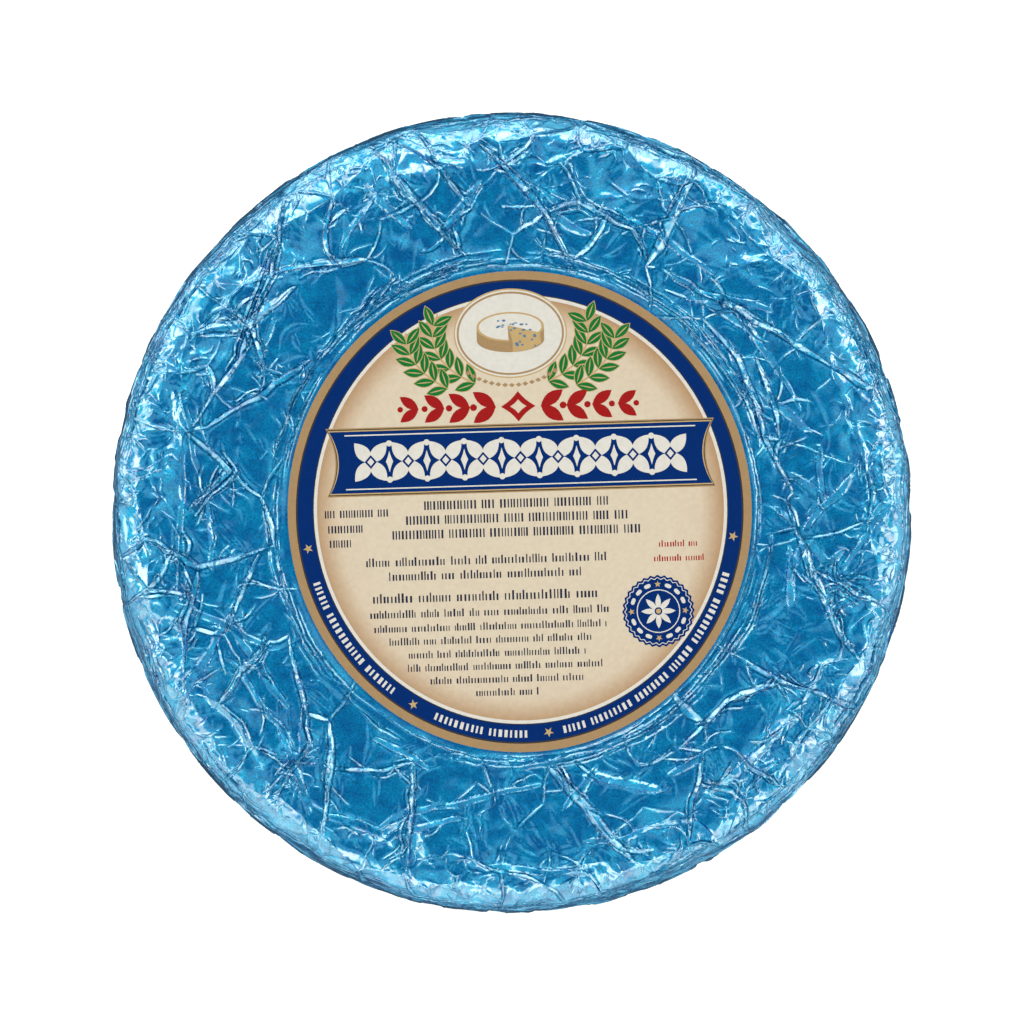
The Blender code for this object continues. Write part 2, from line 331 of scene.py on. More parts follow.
def bowed(start, end, rng, step=3.5, sway=0.25):
    """A slightly bowed and uneven line from one point to another."""
    length = float(np.hypot(*(end - start)))
    share = np.linspace(0, 1, max(2, round(length / step)) + 1)
    off = rng.uniform(-0.1, 0.1) * length * np.sin(math.pi * share)
    off[1:-1] += rng.uniform(-sway, sway, len(share) - 2)
    across = np.array([start[1] - end[1], end[0] - start[0]]) / length
    return start + (end - start) * share[:, None] + across * off[:, None]


def joined(lines, first=0):
    """The points of some lines, and the edges along them for points that are numbered from first on."""
    edges = []
    for line in lines:
        edges += [(first + i, first + i + 1) for i in range(len(line) - 1)]
        first += len(line)
    return np.concatenate([np.zeros((0, 2)), *lines]), edges


def scatter(radius, spacing_at, held, rng, tries):
    """Random points that keep a distance of spacing_at from each other and from the held ones."""
    turn = rng.uniform(0, math.tau, tries)
    along = radius * np.sqrt(rng.uniform(0, 1, tries))
    spots = along[:, None] * headings(turn)
    spacing = spacing_at(spots[:, 0], spots[:, 1])
    kept = np.zeros((len(held) + tries, 2))
    kept[: len(held)] = held
    count = len(held)
    for spot, least in zip(spots, spacing):
        if count == 0 or ((kept[:count] - spot) ** 2).sum(1).min() > least * least:
            kept[count] = spot
            count += 1
    return kept[len(held) : count]


class Net:
    """A net of uneven triangles over the sheet that keeps the fixed lines as edges."""

    def __init__(self, radius, spacing_at, fixed, rng, tries):
        held, edges = joined(fixed)
        rim = [radius * heading(t) for t in np.arange(96) / 96 * math.tau]
        spots = np.concatenate([held, rim, scatter(radius - 4, spacing_at, held, rng, tries)])
        vectors = [Vector(p) for p in spots.tolist()]
        flat, net_edges, faces, _, _, _ = delaunay_2d_cdt(vectors, edges, [], 0, 1e-3)
        self.spots = np.array([tuple(p) for p in flat])
        self.edges = np.array(net_edges)
        self.faces = np.array(faces)

    def cell_edges(self):
        """The edges that aren't the longest side of a facet: they leave uneven many-sided cells."""
        longest = set()
        for corners in self.faces:
            sides = [(corners[i], corners[i - 1]) for i in range(3)]
            a, b = max(sides, key=lambda side: np.hypot(*(self.spots[side[0]] - self.spots[side[1]])))
            longest.add((min(a, b), max(a, b)))
        return [(a, b) for a, b in self.edges if (min(a, b), max(a, b)) not in longest]


class Places:
    """Finds the points that lie near a box."""

    def __init__(self, x, y, cell=4.0):
        self.x, self.y, self.cell = x, y, cell
        self.low = np.array([x.min(), y.min()])
        self.size = (np.array([x.max(), y.max()]) - self.low) // cell + 1
        ix, iy = self.cell_of(x, y)
        key = ix * int(self.size[1]) + iy
        self.order = np.argsort(key, kind="stable")
        self.starts = np.searchsorted(key[self.order], np.arange(int(self.size[0] * self.size[1]) + 1))

    def cell_of(self, x, y):
        ix = np.clip((x - self.low[0]) // self.cell, 0, self.size[0] - 1)
        iy = np.clip((y - self.low[1]) // self.cell, 0, self.size[1] - 1)
        return np.asarray(ix).astype(int), np.asarray(iy).astype(int)

    def near(self, low, high):
        (ix0, iy0), (ix1, iy1) = self.cell_of(*low), self.cell_of(*high)
        rows = int(self.size[1])
        starts, columns = self.starts, range(int(ix0), int(ix1) + 1)
        ends = [(starts[ix * rows + iy0], starts[ix * rows + iy1 + 1]) for ix in columns]
        return np.concatenate([self.order[first:last] for first, last in ends])


def spread_over(net, places, values, puff):
    """Values given at a net's nodes, spread flat over its facets, and how much each point is puffed."""
    out = np.zeros((len(places.x), values.shape[1]))
    bulge = np.zeros(len(places.x))
    for i, corners in enumerate(net.faces):
        tri = net.spots[corners]
        some = places.near(tri.min(0), tri.max(0))
        (ax, ay), (bx, by), (cx, cy) = tri
        det = (by - cy) * (ax - cx) + (cx - bx) * (ay - cy)
        if abs(det) < 1e-9 or not len(some):
            continue
        dx, dy = places.x[some] - cx, places.y[some] - cy
        u = ((by - cy) * dx + (cx - bx) * dy) / det
        v = ((cy - ay) * dx + (ax - cx) * dy) / det
        shares = np.stack([u, v, 1 - u - v], axis=1)
        inside = shares.min(1) > -1e-6
        some, shares = some[inside], shares[inside]
        out[some] = shares @ values[corners]
        bulge[some] = puff[i] * 27 * shares.prod(1)
    return out, bulge


# ---- Creases


class Crease:
    """A ridge along a line: its height and how far each flank reaches, at each point of the line."""

    # painted_shade: how strongly shade is painted along this crease's feet, as a darker colour
    def __init__(self, points, heights, flanks, flat=False, painted_shade=1.0):
        self.points, self.heights, self.flat, self.painted_shade = points, heights, flat, painted_shade
        self.left, self.right = flanks

    def side_ways(self):
        along = np.gradient(self.points, axis=0)
        along /= np.maximum(np.hypot(along[:, 0], along[:, 1]), 1e-9)[:, None]
        return np.stack([-along[:, 1], along[:, 0]], axis=1)

    def rows_beside(self):
        """Lines beside the crest, where the flanks bend."""
        high = self.heights.max()
        for width, sign in ((self.left, 1), (self.right, -1)):
            wide = width.max()
            rows = [width]
            if self.flat and wide > 0.8:
                rows += [width * (1 - FOLD_EDGE), width * 0.45]
            elif wide > 0.55:
                rows.append(np.maximum(width - FOOT_REACH, 0.5 * width))
            if wide > 1.2 and not self.flat:
                rows.append(0.4 * width)
            if high > 0.12:
                rows.append(width + FOOT_REACH)
            if high > 0.3:
                rows.append(width + HOLLOW_REACH)
            for row in rows:
                yield self.points + self.side_ways() * (sign * row)[:, None]


def finely(points, step):
    """Points every step along a line of straight runs, and each one's share of the whole length."""
    runs = np.hypot(*np.diff(points, axis=0).T)
    ends = np.concatenate([[0.0], np.cumsum(runs)])
    at = np.union1d(np.linspace(0, ends[-1], max(3, round(ends[-1] / step) + 1)), ends)
    at = at[np.concatenate([[True], np.diff(at) > 0.15])]
    line = np.stack([np.interp(at, ends, points[:, 0]), np.interp(at, ends, points[:, 1])], axis=1)
    return line, at / ends[-1]


def uneven(share, rng, low, high, knots):
    """A value that wanders between low and high along a line."""
    return np.interp(share, np.linspace(0, 1, knots), rng.uniform(low, high, knots))


def flank(heights, rng, low=21.5, high=31.5):
    """How wide a gentle flank is: its slope wanders where it mirrors the bright part of the studio."""
    count = len(heights)
    slopes = np.radians(uneven(np.linspace(0, 1, count), rng, low, high, max(3, count // 5)))
    return np.maximum(heights / np.tan(slopes), 0.22)


def either_way(one, other, rng):
    return (one, other) if rng.uniform() < 0.5 else (other, one)


def pinched(points, height, rng, end, narrow, both=0.4):
    """A pinched ridge, lower at its ends: gentle on one side or on both."""
    line, share = finely(points, CREST_STEP)
    swell = end + (1 - end) * np.sin(math.pi * share) ** 0.55
    heights = height * swell * uneven(share, rng, 0.72, 1.08, max(3, round(length_of(line) / 5)))
    left, right = flank(heights, rng), flank(heights, rng)
    if rng.uniform() > both:
        steep = np.minimum(narrow, left)
        left, right = (steep, right) if rng.uniform() < 0.5 else (left, steep)
    return Crease(line, heights, (left, right))


def flat_fold(points, height, width, rng):
    """A wide flat fold: its top slopes gently down to one side, and both of its edges are steep."""
    line, share = finely(points, CREST_STEP)
    swell = 0.12 + 0.88 * np.sin(math.pi * share) ** 0.35
    heights = height * swell * uneven(share, rng, 0.9, 1.05, 4)
    wide = width * swell * uneven(share, rng, 0.75, 1.1, 5)
    # A flat fold's feet get a weaker line of painted shade
    return Crease(line, heights, either_way(wide, np.full(len(share), 0.3), rng), True, 0.35)


def low_fold(points, heights, steep, rng):
    """A fold with one gentle flank, and one that is no wider than steep."""
    wide = flank(heights, rng)
    return Crease(points, heights, either_way(np.minimum(wide, steep), wide, rng))


def leaf(start, way, run, bow, height, rng):
    """A short bowed ridge like a leaf's vein, gentle on one side, which dies out at both ends."""
    share = np.linspace(0, 1, max(4, round(run / 0.7)))
    along = heading(way)
    across = np.array([-along[1], along[0]])
    points = start + run * share[:, None] * along + (bow * run * np.sin(math.pi * share))[:, None] * across
    swell = np.sin(math.pi * np.clip(share * 0.9 + 0.05, 0, 1)) ** 0.8
    heights = height * np.maximum(swell, 0.05)
    gentle = flank(heights, rng)
    return Crease(points, heights, either_way(gentle, np.minimum(gentle, 0.25), rng))


def between(values, first, share):
    """The values at a share of the way from the first points to the next ones."""
    return values[first] * (1 - share) + values[first + 1] * share


def ridge_heights(places, creases):
    """The highest ridge over each point, the hollow along the ridges' feet, and the shade painted along the
    feet.
    """
    ridge, hollow, feet = np.zeros((3, len(places.x)))
    for crease in creases:
        for first in range(0, len(crease.points) - 1, 12):
            part = slice(first, min(first + 13, len(crease.points)))
            points, heights = crease.points[part], crease.heights[part]
            left, right = crease.left[part], crease.right[part]
            reach = max(left.max(), right.max()) + HOLLOW_REACH
            some = places.near(points.min(0) - reach, points.max(0) + reach)
            if not len(some):
                continue
            runs = np.diff(points, axis=0)
            rel = np.stack([places.x[some], places.y[some]], axis=1)[:, None, :] - points[None, :-1]
            t = np.clip((rel * runs).sum(2) / (runs**2).sum(1), 0, 1)
            far = ((rel - t[:, :, None] * runs) ** 2).sum(2)
            nearest = far.argmin(1)
            rows = np.arange(len(some))
            away, t = np.sqrt(far[rows, nearest]), t[rows, nearest]
            run, rel = runs[nearest], rel[rows, nearest]
            side = run[:, 0] * rel[:, 1] - run[:, 1] * rel[:, 0]
            width = np.where(side > 0, between(left, nearest, t), between(right, nearest, t))
            share = away / width
            crest = between(heights, nearest, t)
            peak = np.clip(1 - share, 0, 1)
            if crease.flat:
                peak = np.clip((1 - share) / FOLD_EDGE, 0, 1) * (1 - FOLD_FALL * share)
            ridge[some] = np.maximum(ridge[some], crest * peak)
            beyond = (away - width) / HOLLOW_REACH
            dip = np.where((beyond > 0) & (beyond < 1), np.sin(beyond * math.pi), 0.0)
            hollow[some] = np.maximum(hollow[some], 0.16 * crest * dip)
            # A line of painted shade along each crease's foot, where the flank meets the sheet
            near = np.clip(1 - np.abs(away - width) / FOOT_REACH, 0, 1) * past(crest, 0.05, 0.2)
            feet[some] = np.maximum(feet[some], near * crease.painted_shade)
    return ridge, hollow, feet


# ---- The foil's creases


def net_spacing(x, y):
    along = np.hypot(x, y)
    base = 10.5 + 3.5 * lattice_noise(x, y, 26, 31)
    shoulder = 8.5 + 3.5 * lattice_noise(x, y, 18, 32)
    side = 13.0 + 4.5 * lattice_noise(x, y, 30, 34)
    return np.where(along < 82, base, np.where(along < 112, shoulder, side))


def small_spacing(x, y):
    return (4.6 + 1.2 * lattice_noise(x, y, 14, 33)) * np.where(np.hypot(x, y) < TOP_REACH, 1.0, 1.5)


def net_creases(net, rng):
    """Creases along most of the net's cells."""
    for a, b in net.cell_edges():
        p, q = net.spots[a], net.spots[b]
        middle = (p + q) / 2
        if rng.uniform() > NET_SHARE or not clear_of_label(1.5, middle):
            continue
        if np.hypot(*middle) > FINE_RADIUS - 2:
            continue
        kind = rng.uniform()
        line = bowed(p, q, rng)
        heights, end, narrow = next(rest for most, *rest in NET_KINDS if kind < most)
        yield pinched(line, rng.uniform(*heights), rng, end, narrow)


def companions(crease, rng):
    """Lower creases that run beside part of one, a millimetre or two away."""
    for sign in (-1, 1):
        if rng.uniform() < 0.4:
            continue
        count = len(crease.points)
        first = int(rng.uniform(0, 0.4) * count)
        last = min(count, first + max(4, int(rng.uniform(0.3, 0.7) * count)))
        part = slice(first, last)
        share = np.linspace(0, 1, last - first)
        if len(share) < 3:
            continue
        away = sign * uneven(share, rng, 0.9, 2.2, 4)
        points = crease.points[part] + crease.side_ways()[part] * away[:, None]
        swell = np.sin(math.pi * (0.08 + 0.84 * share)) ** 0.7
        yield low_fold(points, crease.heights[part].max() * rng.uniform(0.4, 0.75) * swell, 0.28, rng)


def arc(middle, reach_x, reach_y, run, height, rng):
    """A low fold along part of an oval."""
    turns = rng.uniform(0, math.tau) + np.linspace(0, run / reach_x, max(5, round(run / 0.9)))
    share = np.linspace(0, 1, len(turns))
    off = np.cumsum(rng.normal(0, 0.06, len(turns)))
    x = middle[0] + (reach_x + off) * np.cos(turns)
    y = middle[1] + (reach_y + off) * np.sin(turns)
    swell = np.sin(math.pi * (0.06 + 0.88 * share)) ** 0.7
    return low_fold(np.stack([x, y], axis=1), height * swell, 0.3, rng)


def arcs(rng):
    """Long low folds that run round the label and round the top of the side."""
    count, gaps, runs, heights = LABEL_ARCS
    for _ in range(count):
        gap = rng.uniform(*gaps)
        reach = LABEL_HALF_WIDTH + gap, LABEL_HALF_HEIGHT + gap
        yield arc((LABEL_X, LABEL_Y), *reach, rng.uniform(*runs), rng.uniform(*heights), rng)
    for count, reaches, runs, heights in RIM_ARCS:
        for _ in range(count):
            reach = rng.uniform(*reaches)
            yield arc((0.0, 0.0), reach, reach, rng.uniform(*runs), rng.uniform(*heights), rng)


def somewhere(rng, low, high):
    """A random point whose distance from the middle is between two values."""
    turn = rng.uniform(0, math.tau)
    return math.sqrt(rng.uniform(low**2, high**2)) * heading(turn)


def wrinkles(rng):
    """Small groups of short bowed wrinkles that run side by side."""
    for _ in range(WRINKLE_GROUPS):
        middle = somewhere(rng, 55.0, FINE_RADIUS - 12)
        way = drift(middle, 20, 61) + rng.uniform(-0.5, 0.5)
        aside = np.array([-math.sin(way), math.cos(way)])
        at = 0.0
        for _ in range(rng.integers(1, 5)):
            run = rng.uniform(3.0, 10.0)
            start = middle + aside * at - run * rng.uniform(0.3, 0.7) * heading(way)
            at += rng.uniform(1.0, 2.6)
            if clear_of_label(1.0, start, 2 * middle - start):
                lean = way + rng.uniform(-0.25, 0.25)
                yield leaf(start, lean, run, rng.uniform(-0.16, 0.16), rng.uniform(0.07, 0.19), rng)


def dashes(net, rng):
    """Tiny crumples round the net's nodes."""
    for _ in range(DASHES):
        start = net.spots[rng.integers(len(net.spots))] + rng.normal(0, 3.2, 2)
        way = drift(start, 9, 63) * 1.6 + rng.uniform(-0.4, 0.4)
        run = rng.uniform(1.4, 4.5)
        if clear_of_label(1.2, start, start + run * heading(way)) and np.hypot(*start) <= FINE_RADIUS - 8:
            yield leaf(start, way, run, rng.uniform(-0.2, 0.2), rng.uniform(0.08, 0.18), rng)


def soft_wrinkles(rng):
    """Low rounded wrinkles between the creases, gentle on both sides."""
    for _ in range(SOFT_WRINKLES):
        start = somewhere(rng, 56.0, 100.0)
        way = drift(start, 24, 62) + rng.uniform(-0.6, 0.6)
        run = rng.uniform(3.0, 13.0)
        if clear_of_label(1.5, start, start + run * heading(way)):
            wrinkle = leaf(start, way, run, rng.uniform(-0.2, 0.2), rng.uniform(0.1, 0.24), rng)
            wrinkle.left, wrinkle.right = (flank(wrinkle.heights, rng, 5.5, 14.0) for _ in range(2))
            # Only a little shade is painted along these low wrinkles' feet
            wrinkle.painted_shade = 0.1
            yield wrinkle


def rim_crinkles():
    """Short sharp wrinkles every way over the round shoulder."""
    rng = np.random.default_rng(19)
    for _ in range(RIM_CRINKLES):
        turn, reach = rng.uniform(0, math.tau), rng.uniform(83.5, 97.0)
        way, run = rng.uniform(0, math.tau), rng.uniform(2.0, 6.5)
        yield leaf(reach * heading(turn), way, run, rng.uniform(-0.28, 0.28), rng.uniform(0.09, 0.2), rng)


def flat_folds(rng):
    """Long wide folds, pressed flat."""
    for _ in range(FLAT_FOLDS):
        turn, reach = rng.uniform(0, math.tau), rng.uniform(62, 88)
        start = reach * heading(turn)
        way = turn + rng.uniform(0.5, 2.6)
        tip = start + rng.uniform(12, 30) * heading(way)
        if clear_of_label(1.5, start, tip, (start + tip) / 2):
            line = wandering([start, tip], rng, 6.0, 0.5)
            width = rng.uniform(1.1, 2.1)
            yield flat_fold(line, width * rng.uniform(0.25, 0.34), width, rng)


def branches(creases, rng):
    """Short creases that leave the others at an angle."""
    for crease in creases:
        for _ in range(rng.poisson(length_of(crease.points) / 13)):
            i = rng.integers(len(crease.points) - 1)
            run = crease.points[i + 1] - crease.points[i]
            way = math.atan2(run[1], run[0]) + rng.choice([-1, 1]) * rng.uniform(0.25, 0.9)
            way += math.pi * rng.integers(2)
            size = rng.uniform(3.0, 10.0)
            height = min(0.45, max(0.1, crease.heights[i] * rng.uniform(0.4, 0.9)))
            if clear_of_label(0.6, crease.points[i] + size * heading(way), crease.points[i]):
                yield leaf(crease.points[i], way, size, rng.uniform(-0.15, 0.15), height, rng)


def build_foil():
    """The big net, the small net, and every crease."""
    rng = np.random.default_rng(11)
    lines = [wandering(line, rng) for line in MAIN_CREASES]
    net = Net(HEEL_START + 14, net_spacing, lines, rng, 16000)
    creases = [pinched(line, rng.uniform(0.5, 0.75), rng, 0.2, 0.34, 0.3) for line in lines]
    creases += net_creases(net, rng)
    for crease in list(creases):
        if crease.heights.max() > 0.3 and rng.uniform() < 0.6:
            creases += companions(crease, rng)
    creases += arcs(rng)
    creases += flat_folds(rng)
    creases += list(branches(creases, rng))
    for more in (wrinkles(rng), dashes(net, rng), soft_wrinkles(rng), rim_crinkles()):
        creases += more
    small = Net(HEEL_START + 14, small_spacing, [], rng, 30000)
    for crease in creases:
        wider = 1 + 0.6 * past(np.hypot(*crease.points.T), TOP_REACH, 12)
        crease.left, crease.right = crease.left * wider, crease.right * wider
        crease.heights = crease.heights * wider
    return net, small, creases


NET, SMALL_NET, CREASES = build_foil()


def near_nodes(places, rng):
    """How near each point lies to a node of the big net where the foil is crumpled: 1 at the node."""
    out = np.zeros(len(places.x))
    for spot in NET.spots:
        strength, reach = rng.uniform(-0.4, 1.0), rng.uniform(2.5, 5.5)
        some = places.near(spot - reach, spot + reach)
        if strength > 0 and len(some):
            away = np.hypot(places.x[some] - spot[0], places.y[some] - spot[1])
            out[some] = np.maximum(out[some], strength * smooth(1 - away / reach))
    return out


def sagging_facets(places, rng):
    """The sheet's points on flat facets between the big net's raised and sunken nodes, and their puffs."""
    flat, normal, _, _ = surface(*NET.spots.T)
    along = np.hypot(*NET.spots.T)
    reach = 0.45 + 0.45 * past(along, 78, 8) + 0.1 * past(along, SIDE_START + 4, 12)
    lift = (rng.uniform(-0.42, 0.3, len(along)) - 0.08) * smooth(past_label(*NET.spots.T) / 4.0) * reach
    return spread_over(NET, places, flat + normal * lift[:, None], rng.uniform(-0.26, 0.22, len(NET.faces)))


def soft_relief(x, y, rimward, crumpled):
    """Soft dents and lumps of several sizes, and crumples."""
    out = 0.02 * (1 + 2.2 * rimward) * lattice_noise(x, y, 1.5, 21)
    out += 0.03 * (1 + 1.5 * rimward) * lattice_noise(x, y, 2.9, 22)
    for depth, size, seed in ((0.1, 4.7, 23), (0.24, 9.0, 24), (0.32, 14.0, 28)):
        out += depth * lattice_noise(x, y, size, seed)
    out += 0.1 * streaks(x, y)
    return out + crumpled * (0.2 * ridged(x, y, 3.2, 25) + 0.11 * ridged(x, y, 1.8, 26))


def foil_places(x, y):
    """Where the crinkled foil lies at sheet points, and how much shade is painted there."""
    rng = np.random.default_rng(5)
    places = Places(x, y)
    flat, normal, down, round_ = surface(x, y)
    along, outside = np.hypot(x, y), past_label(x, y)
    faceted, puff = sagging_facets(places, rng)
    puff *= 0.45 + 0.55 * past(along, 78, 8)
    rounder = past(along, 85, 6) * (1 - past(along, SIDE_START, 8))
    chord = smooth((HEEL_START + 4 - along) / 10) * smooth(outside) * (1 - 0.65 * rounder)
    base = flat * (1 - chord[:, None]) + faceted * chord[:, None]

    rimward = past(along, 80, 8) * (1 - past(along, SIDE_START, 10))
    shards = rng.uniform(-0.08, 0.08, (len(SMALL_NET.spots), 1))
    small_puff = rng.uniform(-0.06, 0.06, len(SMALL_NET.faces))
    shards, small_puff = spread_over(SMALL_NET, places, shards, small_puff)
    small = (shards[:, 0] + small_puff) * (0.3 + 0.9 * rimward)
    ridge, hollow, feet = ridge_heights(places, CREASES)
    on_side = past(along, SIDE_START, 10)
    crumpled = np.clip(near_nodes(places, rng) + 0.65 * rimward, 0, 1) * (1 - 0.7 * on_side)
    outline = past(along, 96, 5) * (1 - past(along, 112, 8))
    free = smooth(outside / 3.0 - 0.1) * (1 - 0.45 * outline)
    lift = free * (puff + small + soft_relief(x, y, rimward, crumpled) - hollow)
    lift += smooth(outside / 1.2) * ridge

    slump = np.clip(0.15 + 1.3 * lattice_noise(x, y, 24, 27), 0, 1)
    lift += 1.2 * np.sin(math.pi * np.clip((along - 86) / 18, 0, 1)) ** 2
    lift -= slump * past(along, 76, 13) * (1 - past(along, 92, 9))
    lift += 0.28 * smooth(outside / 1.8) * (1 - past(outside, 2.5, 5))
    calm = 1 - past(along, FOOT_START - 7, 6)
    pleats = pleat_lift(x, y, flat[:, 2]) + 0.3 * on_side * calm
    base = base + normal * (lift * calm + pleats)[:, None]

    # Shade painted along the creases' feet, kept off the label and the base, and lighter down the side
    feet *= smooth(outside / 1.2) * calm * (1 - 0.5 * on_side)
    # Painted shade down the whole side, which darkens it and thins its clear coat there
    feet = np.maximum(feet, 0.35 * past(along, SIDE_START + 4, 8))
    loose = smooth(outside / 6.0) * calm * (1 + 0.8 * rimward)
    for way, seed in ((down, 41), (round_, 43)):
        slide = 0.5 * lattice_noise(x, y, 6.5, seed) + 0.2 * lattice_noise(x, y, 2.9, seed + 1)
        base += way * (loose * slide)[:, None]
    return base, feet


# ---- Meshes


def unevenly_spaced(radius, spacing, rng):
    """Points in staggered rows, each shaken a little."""
    row_height = spacing * math.sqrt(3) / 2
    rows = np.arange(-int(radius / row_height) - 1, int(radius / row_height) + 2)
    places = np.arange(-int(radius / spacing) - 2, int(radius / spacing) + 3)
    row, place = np.meshgrid(rows, places, indexing="ij")
    x = (place + (row % 2) / 2) * spacing
    y = row * row_height
    shake = rng.uniform(-0.22, 0.22, (2, *x.shape)) * spacing
    return (x + shake[0]).ravel(), (y + shake[1]).ravel()


def crowded(spots, others, size):
    """Which points share a cell with one of the others."""
    cells = [np.round(some / size).astype(np.int64) @ (100003, 1) for some in (spots, others)]
    return np.isin(*cells)


def pleat_lines():
    """Two lines down the side for each pleat, where its step begins and ends."""
    downward = np.arange(SIDE_START - 6.0, FINE_RADIUS - 0.8, 1.8)
    for start in PLEAT_STARTS[:-1]:
        for width in (0.0, -0.011):
            yield downward[:, None] * headings(start + width + pleat_sway(downward))


def rim_edges():
    """The big net's edges outside the top."""
    for edge in NET.edges:
        ends = NET.spots[edge]
        if np.hypot(*ends.T).max() < FINE_RADIUS - 0.5 and np.hypot(*ends.mean(0)) > 87:
            yield ends


def fine_sheet():
    """All but the heel and the base, as fine triangles whose edges follow the creases' crests."""
    rng = np.random.default_rng(2)
    rim = FINE_RADIUS * headings(np.arange(COLUMNS) / COLUMNS * math.tau)
    creases = [crease for crease in CREASES if np.hypot(*crease.points.T).max() <= FINE_RADIUS - 1.0]
    crests, edges = joined([crease.points for crease in creases] + [*pleat_lines(), *rim_edges()], COLUMNS)
    edges += [(i, (i + 1) % COLUMNS) for i in range(COLUMNS)]
    feet = np.concatenate([row for crease in creases for row in crease.rows_beside()])
    feet = feet[np.hypot(*feet.T) < FINE_RADIUS - 0.6]
    feet = feet[~crowded(feet, crests, 0.15)]

    gx, gy = unevenly_spaced(TOP_REACH, FINE_SPACING, rng)
    on_top = (np.hypot(gx, gy) < TOP_REACH) & (past_label(gx, gy) > -1.5)
    sx, sy = unevenly_spaced(FINE_RADIUS, SIDE_SPACING, rng)
    reach = np.hypot(sx, sy)
    on_side = (reach > TOP_REACH + 0.3) & (reach < FINE_RADIUS - 0.5 * SIDE_SPACING)
    grid = np.stack([np.append(gx[on_top], sx[on_side]), np.append(gy[on_top], sy[on_side])], axis=1)
    grid = grid[~crowded(grid, np.concatenate([crests, feet]), 0.55)]
    bx, by = unevenly_spaced(FINE_RADIUS, BED_SPACING, rng)
    bed = np.stack([bx, by], axis=1)[past_label(bx, by) < -2.5]
    vectors = [Vector(p) for p in np.concatenate([rim, crests, feet, grid, bed]).tolist()]
    flat, _, faces, _, _, _ = delaunay_2d_cdt(vectors, edges, [], 1, 0.06)
    return np.array([tuple(p) for p in flat]), [tuple(f) for f in faces]


def new_object(name, places, faces):
    mesh = bpy.data.meshes.new(name)
    mesh.from_pydata((places * MM).tolist(), [], faces)
    piece = bpy.data.objects.new(name, mesh)
    bpy.context.scene.collection.objects.link(piece)
    return piece, mesh


def foil_skin():
    """The whole foil: the fine sheet, and rings of four-sided faces round the heel and under the base."""
    spots, faces = fine_sheet()
    rim = np.where(np.abs(np.hypot(*spots.T) - FINE_RADIUS) < 1e-3)[0]
    turns = np.arctan2(spots[rim, 1], spots[rim, 0]) % math.tau
    rim = rim[np.argsort(np.round(turns / math.tau * COLUMNS).astype(int) % COLUMNS, kind="stable")]
    rings = int((SHEET_RADIUS - FINE_RADIUS) / SIDE_STEP)
    distances = FINE_RADIUS + (SHEET_RADIUS - FINE_RADIUS) * np.arange(1, rings) / rings
    d, t = np.meshgrid(distances, np.arange(COLUMNS) / COLUMNS * math.tau, indexing="ij")
    lower = d.ravel()[:, None] * headings(t.ravel())
    first = len(spots)
    places, feet = foil_places(*np.concatenate([spots, lower]).T)
    places[:, :2] *= np.minimum(1, WIDEST / np.maximum(np.hypot(places[:, 0], places[:, 1]), 1))[:, None]
    places[:, 2] = np.clip(places[:, 2], 0, HIGHEST)
    places = np.concatenate([places, [[0.0, 0.0, BASE_RISE]]])
    grid = [rim] + [first + r * COLUMNS + np.arange(COLUMNS) for r in range(rings - 1)]
    for upper, under in zip(grid, grid[1:]):
        sides = np.stack([upper, under, np.roll(under, -1), np.roll(upper, -1)], axis=1)
        faces += [tuple(side) for side in sides.tolist()]
    middle = len(places) - 1
    last = grid[-1].tolist()
    faces += [(last[c], middle, last[(c + 1) % COLUMNS]) for c in range(COLUMNS)]
    foil, mesh = new_object("foil_skin", places, faces)
    # The shade painted along the creases' feet and down the side, for the material
    painted_shade = mesh.attributes.new("fold_painted_shade", "FLOAT", "POINT")
    painted_shade.data.foreach_set("value", np.append(feet, 0.0).astype(np.float32))
    mesh.validate()
    mesh.shade_smooth()
    mesh.set_sharp_from_angle(angle=SHARP_ANGLE)
    mesh.materials.append(foil_material())
    return foil


# ---- Materials


def add(tree, kind, inputs=None, **settings):
    """A new node: its settings, and its inputs, each linked to a socket or set to a constant."""
    node = tree.nodes.new("ShaderNode" + kind)
    for name, value in settings.items():
        setattr(node, name, value)
    for name, value in (inputs or {}).items():
        if isinstance(value, bpy.types.NodeSocket):
            tree.links.new(value, node.inputs[name])
        else:
            node.inputs[name].default_value = value
    return node


def add_noise(tree, place, scale, detail, roughness=0.5):
    inputs = {"Vector": place, "Scale": scale, "Detail": detail, "Roughness": roughness}
    return add(tree, "TexNoise", inputs).outputs["Fac"]


def add_ramp(tree, value, stops):
    """A colour ramp through stops, each a place and a colour."""
    node = add(tree, "ValToRGB", {"Fac": value})
    first, *others, last = stops
    elements = node.color_ramp.elements
    for number, (place, colour) in enumerate((first, last)):
        elements[number].position = place
        elements[number].color = (*colour, 1)
    for place, colour in others:
        elements.new(place).color = (*colour, 1)
    return node.outputs["Color"]


def add_mix(tree, factor, a, b, **settings):
    inputs = {"Factor": factor, "A": a, "B": b}
    return add(tree, "Mix", inputs, data_type="RGBA", **settings).outputs["Result"]


def new_material(name):
    material = bpy.data.materials.new(name)
    material.use_nodes = True
    return material, material.node_tree, material.node_tree.nodes["Principled BSDF"]


